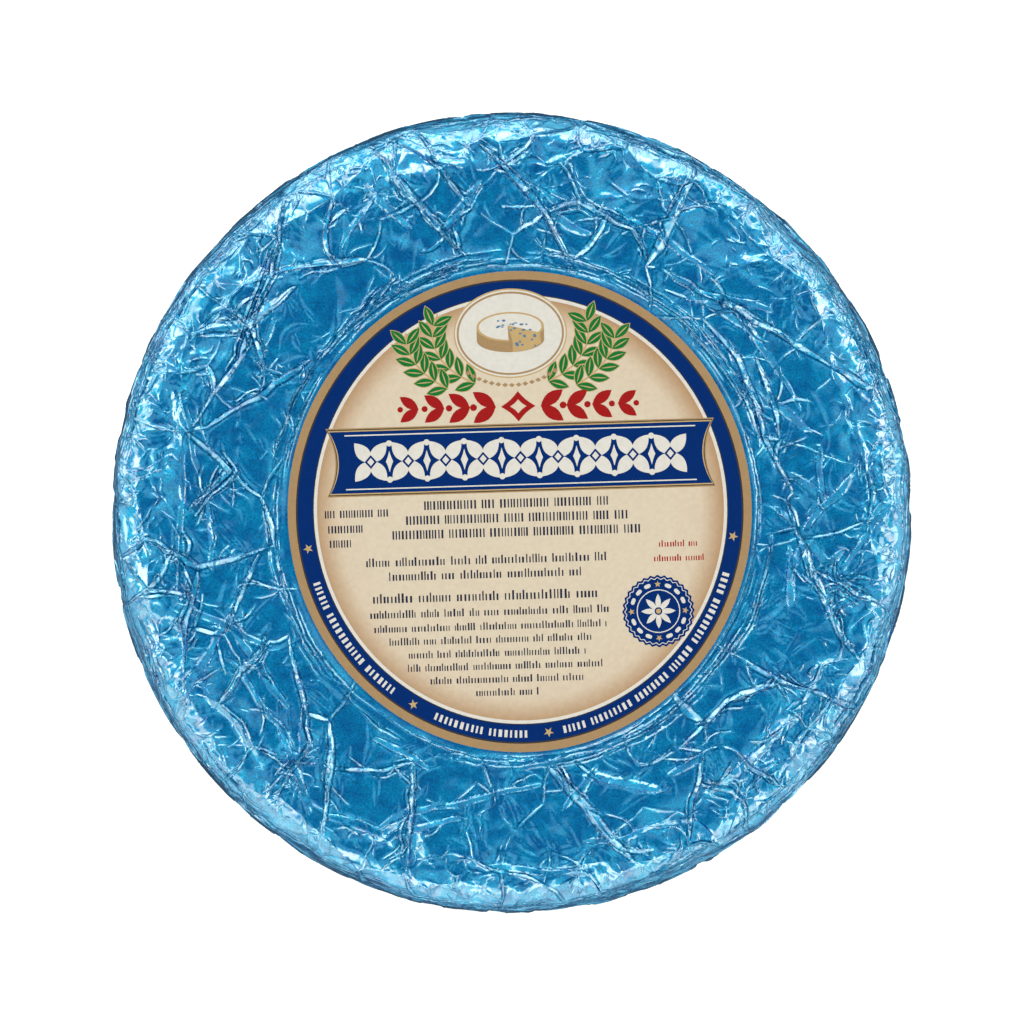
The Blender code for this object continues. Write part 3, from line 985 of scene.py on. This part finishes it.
def foil_material():
    """A blue metal with fine grain under a clear coat, with painted shade: dull and dark along the creases'
    feet and down the side.
    """
    material, tree, shader = new_material("blue_foil")
    shader.inputs["Base Color"].default_value = (0.008, 0.27, 0.56, 1)
    shader.inputs["Metallic"].default_value = 1.0
    shader.inputs["Roughness"].default_value = 0.4
    shader.inputs["Coat Weight"].default_value = 1.0
    shader.inputs["Coat Roughness"].default_value = 0.04
    shader.inputs["Coat IOR"].default_value = 2.3
    place = add(tree, "TexCoord").outputs["Object"]
    painted_shade = add(tree, "Attribute", attribute_name="fold_painted_shade").outputs["Fac"]
    stops = ((0.3, (0.001, 0.206, 0.615)), (0.7, (0.004, 0.42, 0.90)))
    tint = add_ramp(tree, add_noise(tree, place, 260.0, 4.0), stops)
    # Painted shade: a dark blue along the creases' feet and down the side
    tint_with_painted_shade = add_mix(tree, painted_shade, tint, (0.0002, 0.058, 0.2, 1))
    grain = add_noise(tree, place, 2200.0, 2.0, 0.7)
    spread = {"Value": grain, "From Min": 0.25, "From Max": 0.75, "To Min": 0.45, "To Max": 1.55}
    shade = add(tree, "MapRange", spread).outputs["Result"]
    shaded = add(tree, "VectorMath", {0: tint_with_painted_shade, "Scale": shade}, operation="SCALE").outputs["Vector"]
    # The clear coat thins where shade is painted
    gloss = add(tree, "MapRange", {"Value": painted_shade, "To Min": 1.0, "To Max": 0.0}).outputs["Result"]
    fine = add_noise(tree, place, 950.0, 2.0)
    bump = add(tree, "Bump", {"Height": fine, "Strength": 1.0, "Distance": 0.00004}).outputs["Normal"]
    tree.links.new(shaded, shader.inputs["Base Color"])
    tree.links.new(gloss, shader.inputs["Coat Weight"])
    tree.links.new(bump, shader.inputs["Normal"])
    return material


# The label's print: each colour is a material of its own
CREAM, GOLD, DARK_LINE, NAVY, WHITE, RED, GREEN, INK, PALE_GOLD, BLUE_VEIN = range(10)
PRINT_COLOURS = (
    (0.715, 0.605, 0.452),
    (0.40, 0.255, 0.125),
    (0.05, 0.04, 0.035),
    (0.0012, 0.025, 0.15),
    (0.74, 0.70, 0.63),
    (0.36, 0.012, 0.012),
    (0.010, 0.17, 0.035),
    (0.022, 0.026, 0.055),
    (0.55, 0.38, 0.17),
    (0.10, 0.20, 0.34),
)
# What the print's colours are multiplied by, for the studio's light, and how much they vary
PRINT_GAIN = (0.735, 0.78, 1.0)
PRINT_SPREAD = 0.035
# How the cream field turns tan towards its edge
FIELD_STOPS = ((0.66, (1, 1, 1)), (0.78, (0.985, 0.95, 0.93)), (0.88, (0.66, 0.475, 0.335)))


def print_material(number):
    """One colour of the print, a little lighter and darker from place to place."""
    material, tree, shader = new_material("print_{:02d}".format(number))
    shader.inputs["Roughness"].default_value = 0.5
    shader.inputs["Specular IOR Level"].default_value = 0.04
    colour = [c * gain for c, gain in zip(PRINT_COLOURS[number], PRINT_GAIN)]
    place = add(tree, "TexCoord").outputs["Object"]
    dark = [c * (1 - PRINT_SPREAD) for c in colour]
    light = [min(1, c * (1 + PRINT_SPREAD)) for c in colour]
    colour = add_ramp(tree, add_noise(tree, place, 900.0, 4.0), ((0.35, dark), (0.65, light)))
    if number == CREAM:
        colour = add_mix(tree, 1.0, colour, darker_rim(tree, place), blend_type="MULTIPLY")
    tree.links.new(colour, shader.inputs["Base Color"])
    return material


def darker_rim(tree, place):
    """White in the label's middle, and darker towards its edge."""
    frame_of_label = {
        "Vector": place,
        "Location": (LABEL_X * MM, LABEL_Y * MM, LABEL_TOP * MM),
        "Rotation": (0, 0, LABEL_TURN),
        "Scale": (LABEL_HALF_WIDTH * MM, LABEL_HALF_HEIGHT * MM, 1),
    }
    spot = add(tree, "Mapping", frame_of_label, vector_type="TEXTURE").outputs["Vector"]
    reach = add(tree, "VectorMath", {0: spot}, operation="LENGTH").outputs["Value"]
    return add_ramp(tree, reach, FIELD_STOPS)


# ---- Floor, light and camera

FLOOR_HALF = 3000.0
WARM = (1.2, 1.05, 0.75)
WHITE_LIGHT = (1, 1, 1, 1)

# The studio's light by height, in colours of the warm light: place on the height ramp and brightness
WARM_STOPS = (
    (0.0, 0.03),
    (0.40, 0.05),
    (0.49, 0.08),
    (0.53, 0.17),
    (0.66, 0.06),
    (0.715, 0.10),
    (0.755, 1.9),
    (0.81, 2.1),
)

# The dim middle of the studio's ceiling: place on the height ramp and colour
SKY = (
    (0.875, (0.15, 0.30, 0.31)),
    (0.93, (0.16, 0.41, 0.43)),
    (0.965, (0.18, 0.53, 0.65)),
    (0.985, (0.055, 0.225, 0.33)),
    (0.993, (0.02, 0.085, 0.15)),
)

# The light from under the horizon, in bands: place on the height ramp and colour
BELOW = (
    (0.03, (0.002, 0.03, 0.08)),
    (0.11, (0.006, 0.05, 0.12)),
    (0.17, (0.08, 0.26, 0.33)),
    (0.25, (0.50, 1.02, 0.95)),
    (0.31, (0.26, 0.62, 0.60)),
    (0.38, (0.60, 1.16, 0.96)),
    (0.43, (0.14, 0.40, 0.42)),
    (0.48, (0.16, 0.42, 0.44)),
    (0.53, (0, 0, 0)),
)

# Soft round lights of the studio's dome: azimuth and height above the horizon, both in degrees,
# the angle out to which each is full, the angle where it has faded, and its brightness
GLOWS = (
    (140, 5, 9, 17, 3.9),
    (170, 2, 8, 16, 3.0),
    (97, 9, 7, 15, 2.5),
    (42, 12, 6, 14, 2.5),
    (2, 5, 7, 15, 2.6),
    (205, 8, 8, 18, 1.3),
    (120, -4, 8, 18, 2.0),
    (70, 4, 8, 20, 2.8),
    (-120, 8, 16, 30, 1.0),
    (-85, 10, 16, 30, 0.8),
    (-50, 14, 14, 28, 0.8),
    (-30, -6, 8, 20, 1.2),
    (118, 34, 8, 19, 2.5),
    (76, 33, 7, 17, 2.9),
    (18, 35, 5, 14, 2.8),
    (186, 36, 5, 14, 2.8),
    (-105, 37, 5, 14, 2.1),
    (-35, 37, 5, 14, 2.0),
    (180, -25, 25, 55, 0.2),
    (-90, -25, 25, 55, 0.12),
    (0, -25, 25, 55, 0.2),
    (115, 64, 4, 22, 0.12),
    (10, 62, 3, 18, 0.10),
    (-120, 62, 3, 18, 0.08),
    (190, 64, 3, 16, 0.08),
)

# The camera hangs so high that the picture has hardly any perspective. Lengths in metres.
CAMERA_DISTANCE = 8.0
SHARP_PLANE = 0.080
CAMERA_X, CAMERA_Y = 0.00012, 0.00019
PICTURE_PIXELS, WHEEL_PIXELS, WHEEL_WIDTH = 1024, 800.8, 195
PICTURE_WIDTH = PICTURE_PIXELS * WHEEL_WIDTH / WHEEL_PIXELS * MM
SENSOR_WIDTH = 36


def make_floor():
    """A white floor, which the foil doesn't mirror, and which is clear from below."""
    corners = np.array([(-1, -1, 0), (1, -1, 0), (1, 1, 0), (-1, 1, 0)]) * FLOOR_HALF
    floor, mesh = new_object("floor", corners, [(0, 1, 2, 3)])
    material, tree, shader = new_material("floor")
    shader.inputs["Base Color"].default_value = (0.92, 0.92, 0.92, 1)
    shader.inputs["Roughness"].default_value = 0.9
    shader.inputs["Emission Color"].default_value = WHITE_LIGHT
    shader.inputs["Emission Strength"].default_value = 0.45
    below = add(tree, "NewGeometry").outputs["Backfacing"]
    clear = add(tree, "BsdfTransparent").outputs["BSDF"]
    seen = add(tree, "MixShader", {"Fac": below, 1: shader.outputs["BSDF"], 2: clear})
    tree.links.new(seen.outputs["Shader"], tree.nodes["Material Output"].inputs["Surface"])
    mesh.materials.append(material)
    floor.visible_glossy = False


def add_glow(tree, way, total, glow):
    """Adds a soft round light to the light so far."""
    azimuth, height, full, faded = (math.radians(angle) for angle in glow[:4])
    flat = math.cos(height)
    toward = (math.cos(azimuth) * flat, math.sin(azimuth) * flat, math.sin(height))
    near = add(tree, "VectorMath", {0: way, 1: toward}, operation="DOT_PRODUCT").outputs["Value"]
    fade = {"Value": near, "From Min": math.cos(faded), "From Max": math.cos(full), "To Max": glow[4]}
    level = add(tree, "MapRange", fade, interpolation_type="SMOOTHSTEP").outputs["Result"]
    more = add(tree, "VectorMath", {0: level, 1: WARM, 2: total}, operation="MULTIPLY_ADD")
    return more.outputs["Vector"]


def make_world():
    """The studio: light that depends on direction only. The camera sees plain white behind the wheel."""
    world = bpy.data.worlds.new("studio")
    bpy.context.scene.world = world
    world.use_nodes = True
    tree = world.node_tree
    way = add(tree, "TexCoord").outputs["Generated"]
    up = add(tree, "SeparateXYZ", {0: way}).outputs["Z"]
    height = add(tree, "MapRange", {"Value": up, "From Min": -1.0}).outputs["Result"]
    warm_stops = tuple((place, [level * c for c in WARM]) for place, level in WARM_STOPS)
    above, below = add_ramp(tree, height, warm_stops + SKY), add_ramp(tree, height, BELOW)
    total = add(tree, "VectorMath", {0: above, 1: below}).outputs["Vector"]
    for glow in GLOWS:
        total = add_glow(tree, way, total, glow)
    camera_ray = add(tree, "LightPath").outputs["Is Camera Ray"]
    tree.links.new(add_mix(tree, camera_ray, total, WHITE_LIGHT), tree.nodes["Background"].inputs["Color"])


def make_camera():
    data = bpy.data.cameras.new("camera")
    camera = bpy.data.objects.new("camera", data)
    bpy.context.scene.collection.objects.link(camera)
    data.sensor_width = SENSOR_WIDTH
    data.lens = SENSOR_WIDTH * CAMERA_DISTANCE / PICTURE_WIDTH
    camera.location = (CAMERA_X, CAMERA_Y, SHARP_PLANE + CAMERA_DISTANCE)
    data.clip_start, data.clip_end = 0.5, 20
    bpy.context.scene.camera = camera


# ---- The label's print: closed outlines and their colours, in paint order, in millimetres from its middle

FIELD_MIDDLE = (0.2, 0.5)
MEDALLION = (-1.0, 43.4)
ORNAMENT = (0.4, 25.6)
BANNER = (0.6, 13.1)
BANNER_HALF_WIDTH = 46.2
BANNER_HALF_HEIGHT = 7.3
CUT = ((7.2, 0.0), (7.4, -2.6), (4.4, -4.1), (0.5, -4.6), (-0.6, 2.0))
WEDGE_SIDE = ((-0.5, -1.2), (0.5, -4.6), (0.5, -1.9), (-0.6, 2.0))
SEAL = (33.0, -25.2)
SEAL_RADIUS = 8.6
RIM_MARKS = ((197, 232), (245, 271), (280, 343))
RIM_STARS = (188, 238.5, 276, 352)
RIM_SHARE = 0.924
SPRAYS = ((8, 19.0, 13.5, -62, 22), (7, 25.5, 16.5, -52, 2))
LEAF_LAYERS = ((5.6, 2.5, PALE_GOLD), (5.1, 2.1, GREEN), (4.0, 0.3, PALE_GOLD))
# Rows of small strokes: middle, half width and height, and whether all are equally tall
INK_ROWS = (
    (-0.7, 2.1, 22.5, 2.1, True),
    (-0.7, -1.4, 27.0, 2.1, True),
    (-0.7, -4.9, 30.4, 2.1, True),
    (-8.5, -11.4, 29.2, 2.1, False),
    (-8.5, -14.9, 23.7, 2.1, False),
    (-9.0, -20.2, 27.3, 2.3, False),
    (-7.8, -24.1, 29.3, 1.9, False),
    (-7.8, -27.6, 28.4, 1.8, False),
    (-7.4, -30.8, 25.2, 1.8, False),
    (-6.2, -34.1, 21.8, 1.8, False),
    (-4.6, -37.3, 23.7, 1.8, False),
    (-4.0, -40.5, 18.9, 1.8, False),
    (-4.0, -43.7, 7.9, 1.8, False),
    (-39.6, 0.6, 7.8, 1.8, True),
    (-42.3, -3.1, 4.4, 1.8, True),
    (-43.6, -6.6, 2.8, 1.8, True),
)
RED_ROWS = (
    (38.3, -8.8, 4.7, 1.6, False),
    (38.4, -12.3, 6.1, 1.6, False),
)


def around(middle, reach_x, reach_y, turn):
    """The point of an oval at an angle from its middle."""
    return middle[0] + reach_x * math.cos(turn), middle[1] + reach_y * math.sin(turn)


def turned(points, turn, middle=(0.0, 0.0)):
    cos, sin = math.cos(turn), math.sin(turn)
    x = points[:, 0] * cos - points[:, 1] * sin + middle[0]
    y = points[:, 0] * sin + points[:, 1] * cos + middle[1]
    return np.stack([x, y], axis=1)


def oval(middle, half_width, half_height, count=96):
    turns = np.arange(count) / count * math.tau
    return np.stack([middle[0] + half_width * np.cos(turns), middle[1] + half_height * np.sin(turns)], axis=1)


def ring(middle, share):
    return oval(middle, LABEL_HALF_WIDTH * share, LABEL_HALF_HEIGHT * share, 240)


def bar(middle, width, height, turn=0.0):
    """A bar with round ends."""
    half = max(width - height, 0.02) / 2
    ends = np.linspace(-math.pi / 2, math.pi / 2, 5)
    right = np.stack([half + height / 2 * np.cos(ends), height / 2 * np.sin(ends)], axis=1)
    return turned(np.concatenate([right, -right]), turn, middle)


def block(middle, width, height):
    (x, y), half, tall = middle, width / 2, height / 2
    return [(x - half, y - tall), (x + half, y - tall), (x + half, y + tall), (x - half, y + tall)]


def lens(middle, length, width, turn, points=7):
    """A leaf's outline with two pointed ends."""
    share = np.linspace(0, 1, points)
    side = width / 2 * np.sin(math.pi * share) ** 0.9
    upper = np.stack([(share - 0.5) * length, side], axis=1)
    lower = np.stack([(share[-2:0:-1] - 0.5) * length, -side[-2:0:-1]], axis=1)
    return turned(np.concatenate([upper, lower])[::-1], turn, middle)


def lozenge(middle, half_width, half_height, pinch=0.0):
    """A lozenge whose sides may be drawn in."""
    out = []
    corners = ((1, 0), (0, 1), (-1, 0), (0, -1))
    for (ax, ay), (bx, by) in zip(corners, corners[1:] + corners[:1]):
        for share in (0.0, 0.25, 0.5, 0.75):
            pull = 1 - pinch * math.sin(math.pi * share)
            x, y = ax + (bx - ax) * share, ay + (by - ay) * share
            out.append((middle[0] + half_width * x * pull, middle[1] + half_height * y * pull))
    return out


def star(middle, outer, inner, tips, turn=0.0):
    reaches = (outer, inner) * tips
    return [around(middle, reach, reach, turn + math.pi * i / tips) for i, reach in enumerate(reaches)]


def rim_bar(start, span, height):
    """A short bar that follows the label's rim, from the angle start on, in degrees."""
    turns = np.radians(np.linspace(start, start + span, max(2, round(span / 1.2)) + 1))
    sides = []
    for half in (height / 2 / LABEL_HALF_WIDTH, -height / 2 / LABEL_HALF_WIDTH):
        reach = LABEL_HALF_WIDTH * (RIM_SHARE + half), LABEL_HALF_HEIGHT * (RIM_SHARE + half)
        sides.append([around((0.0, 0.0), *reach, t) for t in turns])
    return sides[0] + sides[1][::-1]


def strokes(at, last, scale, widths, gaps, group, space, rng):
    """Where strokes that stand in groups begin, and their widths: they stand for small print."""
    left_in_group = rng.randint(*group)
    while at < last:
        width = scale * rng.uniform(*widths)
        yield at, width
        at += width + scale * rng.uniform(*gaps)
        left_in_group -= 1
        if left_in_group == 0:
            at += space
            left_in_group = rng.randint(*group)


def print_rings():
    middle = (0.0, 0.0)
    for share, colour in ((0.999, GOLD), (0.964, DARK_LINE), (0.957, NAVY)):
        yield ring(middle, share), colour
    for share, colour in ((0.894, DARK_LINE), (0.890, WHITE), (0.876, CREAM)):
        yield ring(FIELD_MIDDLE, share), colour
    rng = random.Random(8)
    for first, last in RIM_MARKS:
        for at, span in strokes(first, last, 1, (0.5, 0.95), (0.6, 0.8), (5, 11), 1.0, rng):
            yield rim_bar(at, span, 1.7), WHITE
    for angle in RIM_STARS:
        t = math.radians(angle)
        spot = around(middle, LABEL_HALF_WIDTH * RIM_SHARE, LABEL_HALF_HEIGHT * RIM_SHARE, t)
        yield star(spot, 1.25, 0.5, 5, t), PALE_GOLD


def print_sprays():
    """Two laurel sprays that curve up round the medallion."""
    for side in (-1, 1):
        for count, reach_x, reach_y, first, last in SPRAYS:
            turns = np.radians(np.linspace(first, last, count))
            stem = [around(MEDALLION, side * reach_x, reach_y, t) for t in turns]
            runs = [(a, (b[0] - a[0], b[1] - a[1])) for a, b in zip(stem, stem[1:])]
            for (x, y), (dx, dy) in runs:
                middle = (x + dx / 2, y + dy / 2)
                yield bar(middle, math.hypot(dx, dy) + 0.5, 0.45, math.atan2(dy, dx)), PALE_GOLD
            for spot, (dx, dy) in runs:
                for lean in (-0.75, 0.75):
                    way = math.atan2(dy, dx) + lean
                    for length, width, colour in LEAF_LAYERS:
                        yield lens(around(spot, 2.6, 2.6, way), length, width, way), colour


def print_medallion():
    """A white oval with a gold rim, and on it a wheel of cheese with a wedge cut out."""
    x, y = MEDALLION
    for degrees in range(-132, -47, 6):
        yield lozenge(around(MEDALLION, 15.8, 12.6, math.radians(degrees)), 0.75, 0.55), GOLD
    for grow, colour in ((1.5, PALE_GOLD), (1.15, WHITE), (0.75, GOLD), (0.25, WHITE)):
        yield oval(MEDALLION, 12.3 + grow, 9.4 + grow), colour
    body = [around((x, y - 1.6), 8.2, 3.0, t) for t in np.radians(np.linspace(0, -180, 25))]
    yield body + [(x - 8.2, y + 1.6), (x + 8.2, y + 1.6)], GOLD
    top = (x, y + 1.6)
    yield oval(top, 8.2, 3.6, 64), PALE_GOLD
    yield oval(top, 7.6, 3.2, 64), WHITE
    for outline, colour in ((CUT, PALE_GOLD), (WEDGE_SIDE, GOLD)):
        yield [(x + dx, y + dy) for dx, dy in outline], colour
    rng = random.Random(4)
    for _ in range(16):
        turn, out = rng.uniform(0, math.tau), rng.uniform(0.15, 0.85)
        spot = around(top, 7.0 * out, 2.8 * out, turn)
        yield oval(spot, rng.uniform(0.2, 0.55), rng.uniform(0.15, 0.3), 9), BLUE_VEIN
    for _ in range(9):
        spot = (x + rng.uniform(1.4, 6.4), y + rng.uniform(-3.4, -0.6))
        yield oval(spot, rng.uniform(0.2, 0.5), rng.uniform(0.2, 0.45), 9), BLUE_VEIN


def print_ornament():
    """A red row of lozenges, leaves and dots."""
    x, y = ORNAMENT
    yield lozenge(ORNAMENT, 4.2, 3.7, 0.12), RED
    yield lozenge(ORNAMENT, 2.0, 1.7, 0.12), CREAM
    for side in (-1, 1):
        for i in range(4):
            middle, size = x + side * (8.2 + 6.1 * i), 1 - 0.06 * i
            for lean in (-0.62, 0.62):
                place = (middle, y + math.copysign(1.8 * size, lean))
                yield lens(place, 6.8 * size, 3.0 * size, lean if side > 0 else math.pi - lean), RED
            yield oval((middle + side * 2.7 * size, y), 0.85 * size, 0.85 * size, 16), RED
        yield bar((x + side * 17.0, y - 4.5), 24.0, 0.5), RED


def banner_outline(grow):
    """A band whose two ends are drawn in, made larger all round by grow."""
    x, y = BANNER
    wide, high = BANNER_HALF_WIDTH + grow, BANNER_HALF_HEIGHT + grow
    right = [(x + wide - 2.2 * (1 - s * s), y + high * s) for s in np.linspace(-1, 1, 15)]
    return right + [(2 * x - px, 2 * y - py) for px, py in right]


def print_banner():
    """The navy banner with a white chain of pinched lozenges and leaves."""
    for grow, colour in ((1.05, GOLD), (0.75, DARK_LINE), (0.5, PALE_GOLD), (0.2, NAVY)):
        yield banner_outline(grow), colour
    x, y = BANNER
    count = 9
    step = 2 * (BANNER_HALF_WIDTH - 5.2) / count
    for i in range(count):
        middle = (x + (i - (count - 1) / 2) * step, y)
        for turn in math.pi / 4 * np.arange(1, 8, 2):
            way = math.atan2(3.05 * math.sin(turn), 2.55 * math.cos(turn))
            yield lens(around(middle, 2.55, 3.05, turn), 6.6, 3.3, way, 11), WHITE
        yield lozenge(middle, 1.5, 1.7), NAVY
        yield lozenge(middle, 0.85, 1.0), WHITE
        if i:
            between = middle[0] - step / 2
            yield lozenge((between, y), 0.9, 2.6, 0.1), WHITE
            for side in (-1, 1):
                yield oval((between, y + side * 4.4), 0.75, 0.75, 14), WHITE
    for side in (-1, 1):
        yield bar((x, y + side * (BANNER_HALF_HEIGHT - 0.75)), 2 * BANNER_HALF_WIDTH - 7.0, 0.3), WHITE


def print_rows():
    """Rows of thin upright strokes in groups."""
    rng = random.Random(6)
    for rows, colour in ((INK_ROWS, INK), (RED_ROWS, RED)):
        for x, y, half, height, even in rows:
            last = half - 0.2 * height
            space = 0.5 * height
            for at, width in strokes(-half, last, height, (0.13, 0.24), (0.14, 0.26), (4, 18), space, rng):
                tall = height * (1.0 if even or rng.random() < 0.28 else 0.7)
                yield block((x + at + width / 2, y + (tall - height) / 2), width, tall), colour


def print_seal():
    """A navy seal with a scalloped edge, thin white rings and a rosette."""
    turns = np.arange(192) / 192 * math.tau
    for grow, colour in ((0.0, NAVY), (-0.55, WHITE), (-0.75, NAVY)):
        reach = SEAL_RADIUS + grow + 0.22 * np.cos(32 * turns)
        yield np.array(SEAL) + reach[:, None] * headings(turns), colour
    yield oval(SEAL, 5.3, 5.3, 72), WHITE
    yield oval(SEAL, 5.05, 5.05, 72), NAVY
    for i in range(16):
        turn = math.tau * i / 16
        place = around(SEAL, 6.55, 6.55, turn)
        if i % 4:
            yield bar(place, 1.7, 0.95, turn + math.pi / 2), WHITE
        else:
            yield star(place, 0.85, 0.36, 5, turn), PALE_GOLD
    for turn in math.tau * np.arange(8) / 8:
        yield lens(around(SEAL, 2.2, 2.2, turn), 4.0, 1.35, turn), WHITE
    yield oval(SEAL, 0.95, 0.95, 24), NAVY
    yield oval(SEAL, 0.6, 0.6, 20), PALE_GOLD


PRINTS = (print_rings, print_sprays, print_medallion, print_ornament, print_banner, print_rows, print_seal)


# ---- The label's mesh


def signed_area(outline):
    x, y = outline.T
    return float((x * np.roll(y, -1) - y * np.roll(x, -1)).sum()) / 2


def label_sheet():
    """The print's shapes as one flat net of faces, each with the colour of the shape painted last there."""
    points, faces, colours = [], [], []
    for outline, colour in (shape for shapes in PRINTS for shape in shapes()):
        run = np.asarray(outline, float)
        run = run if signed_area(run) > 0 else run[::-1]
        faces.append(list(range(len(points), len(points) + len(run))))
        points += [Vector((round(x, 4), round(y, 4))) for x, y in run.tolist()]
        colours.append(colour)
    gx, gy = unevenly_spaced(LABEL_HALF_HEIGHT, 4.0, np.random.default_rng(12))
    inside = np.hypot(gx / LABEL_HALF_WIDTH, gy / LABEL_HALF_HEIGHT) < 0.98
    points += [Vector(p) for p in zip(gx[inside].tolist(), gy[inside].tolist())]
    spots, _, cells, _, _, owners = delaunay_2d_cdt(points, [], faces, 1, 1e-4)
    return np.array([tuple(p) for p in spots]), cells, [colours[max(owner)] for owner in owners]


def label_heights(x, y):
    """The paper's top, which lies very slightly uneven on the cheese."""
    return LABEL_TOP - 0.07 + 0.045 * lattice_noise(x, y, 17, 51) + 0.02 * lattice_noise(x, y, 6, 52)


def printed_label():
    """The printed top, and a white edge down to the foil."""
    spots, cells, colours = label_sheet()
    sides = dict.fromkeys((a, b) for cell in cells for a, b in zip(cell, cell[1:] + cell[:1]))
    border = [(a, b) for a, b in sides if (b, a) not in sides]
    top = np.column_stack([turned(spots, LABEL_TURN, (LABEL_X, LABEL_Y)), label_heights(*spots.T)])
    edge = top[[a for a, _ in border]]
    edge[:, 2] = TOP_HEIGHT - 0.05
    low = {a: len(top) + i for i, (a, _) in enumerate(border)}
    faces = [tuple(cell) for cell in cells] + [(b, a, low[a], low[b]) for a, b in border]
    label, mesh = new_object("printed_label", np.concatenate([top, edge]), faces)
    for number in range(len(PRINT_COLOURS)):
        mesh.materials.append(print_material(number))
    mesh.polygons.foreach_set("material_index", colours + [WHITE] * len(border))
    mesh.shade_smooth()
    mesh.set_sharp_from_angle(angle=math.radians(40))
    return label


def main():
    foil = foil_skin()
    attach(foil, "root")
    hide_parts("foil_wrapped_wheel")
    label = printed_label()
    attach(label, "root")
    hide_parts("paper_label")
    make_floor()
    make_world()
    make_camera()
    bpy.context.scene.view_settings.view_transform = "Standard"


main()
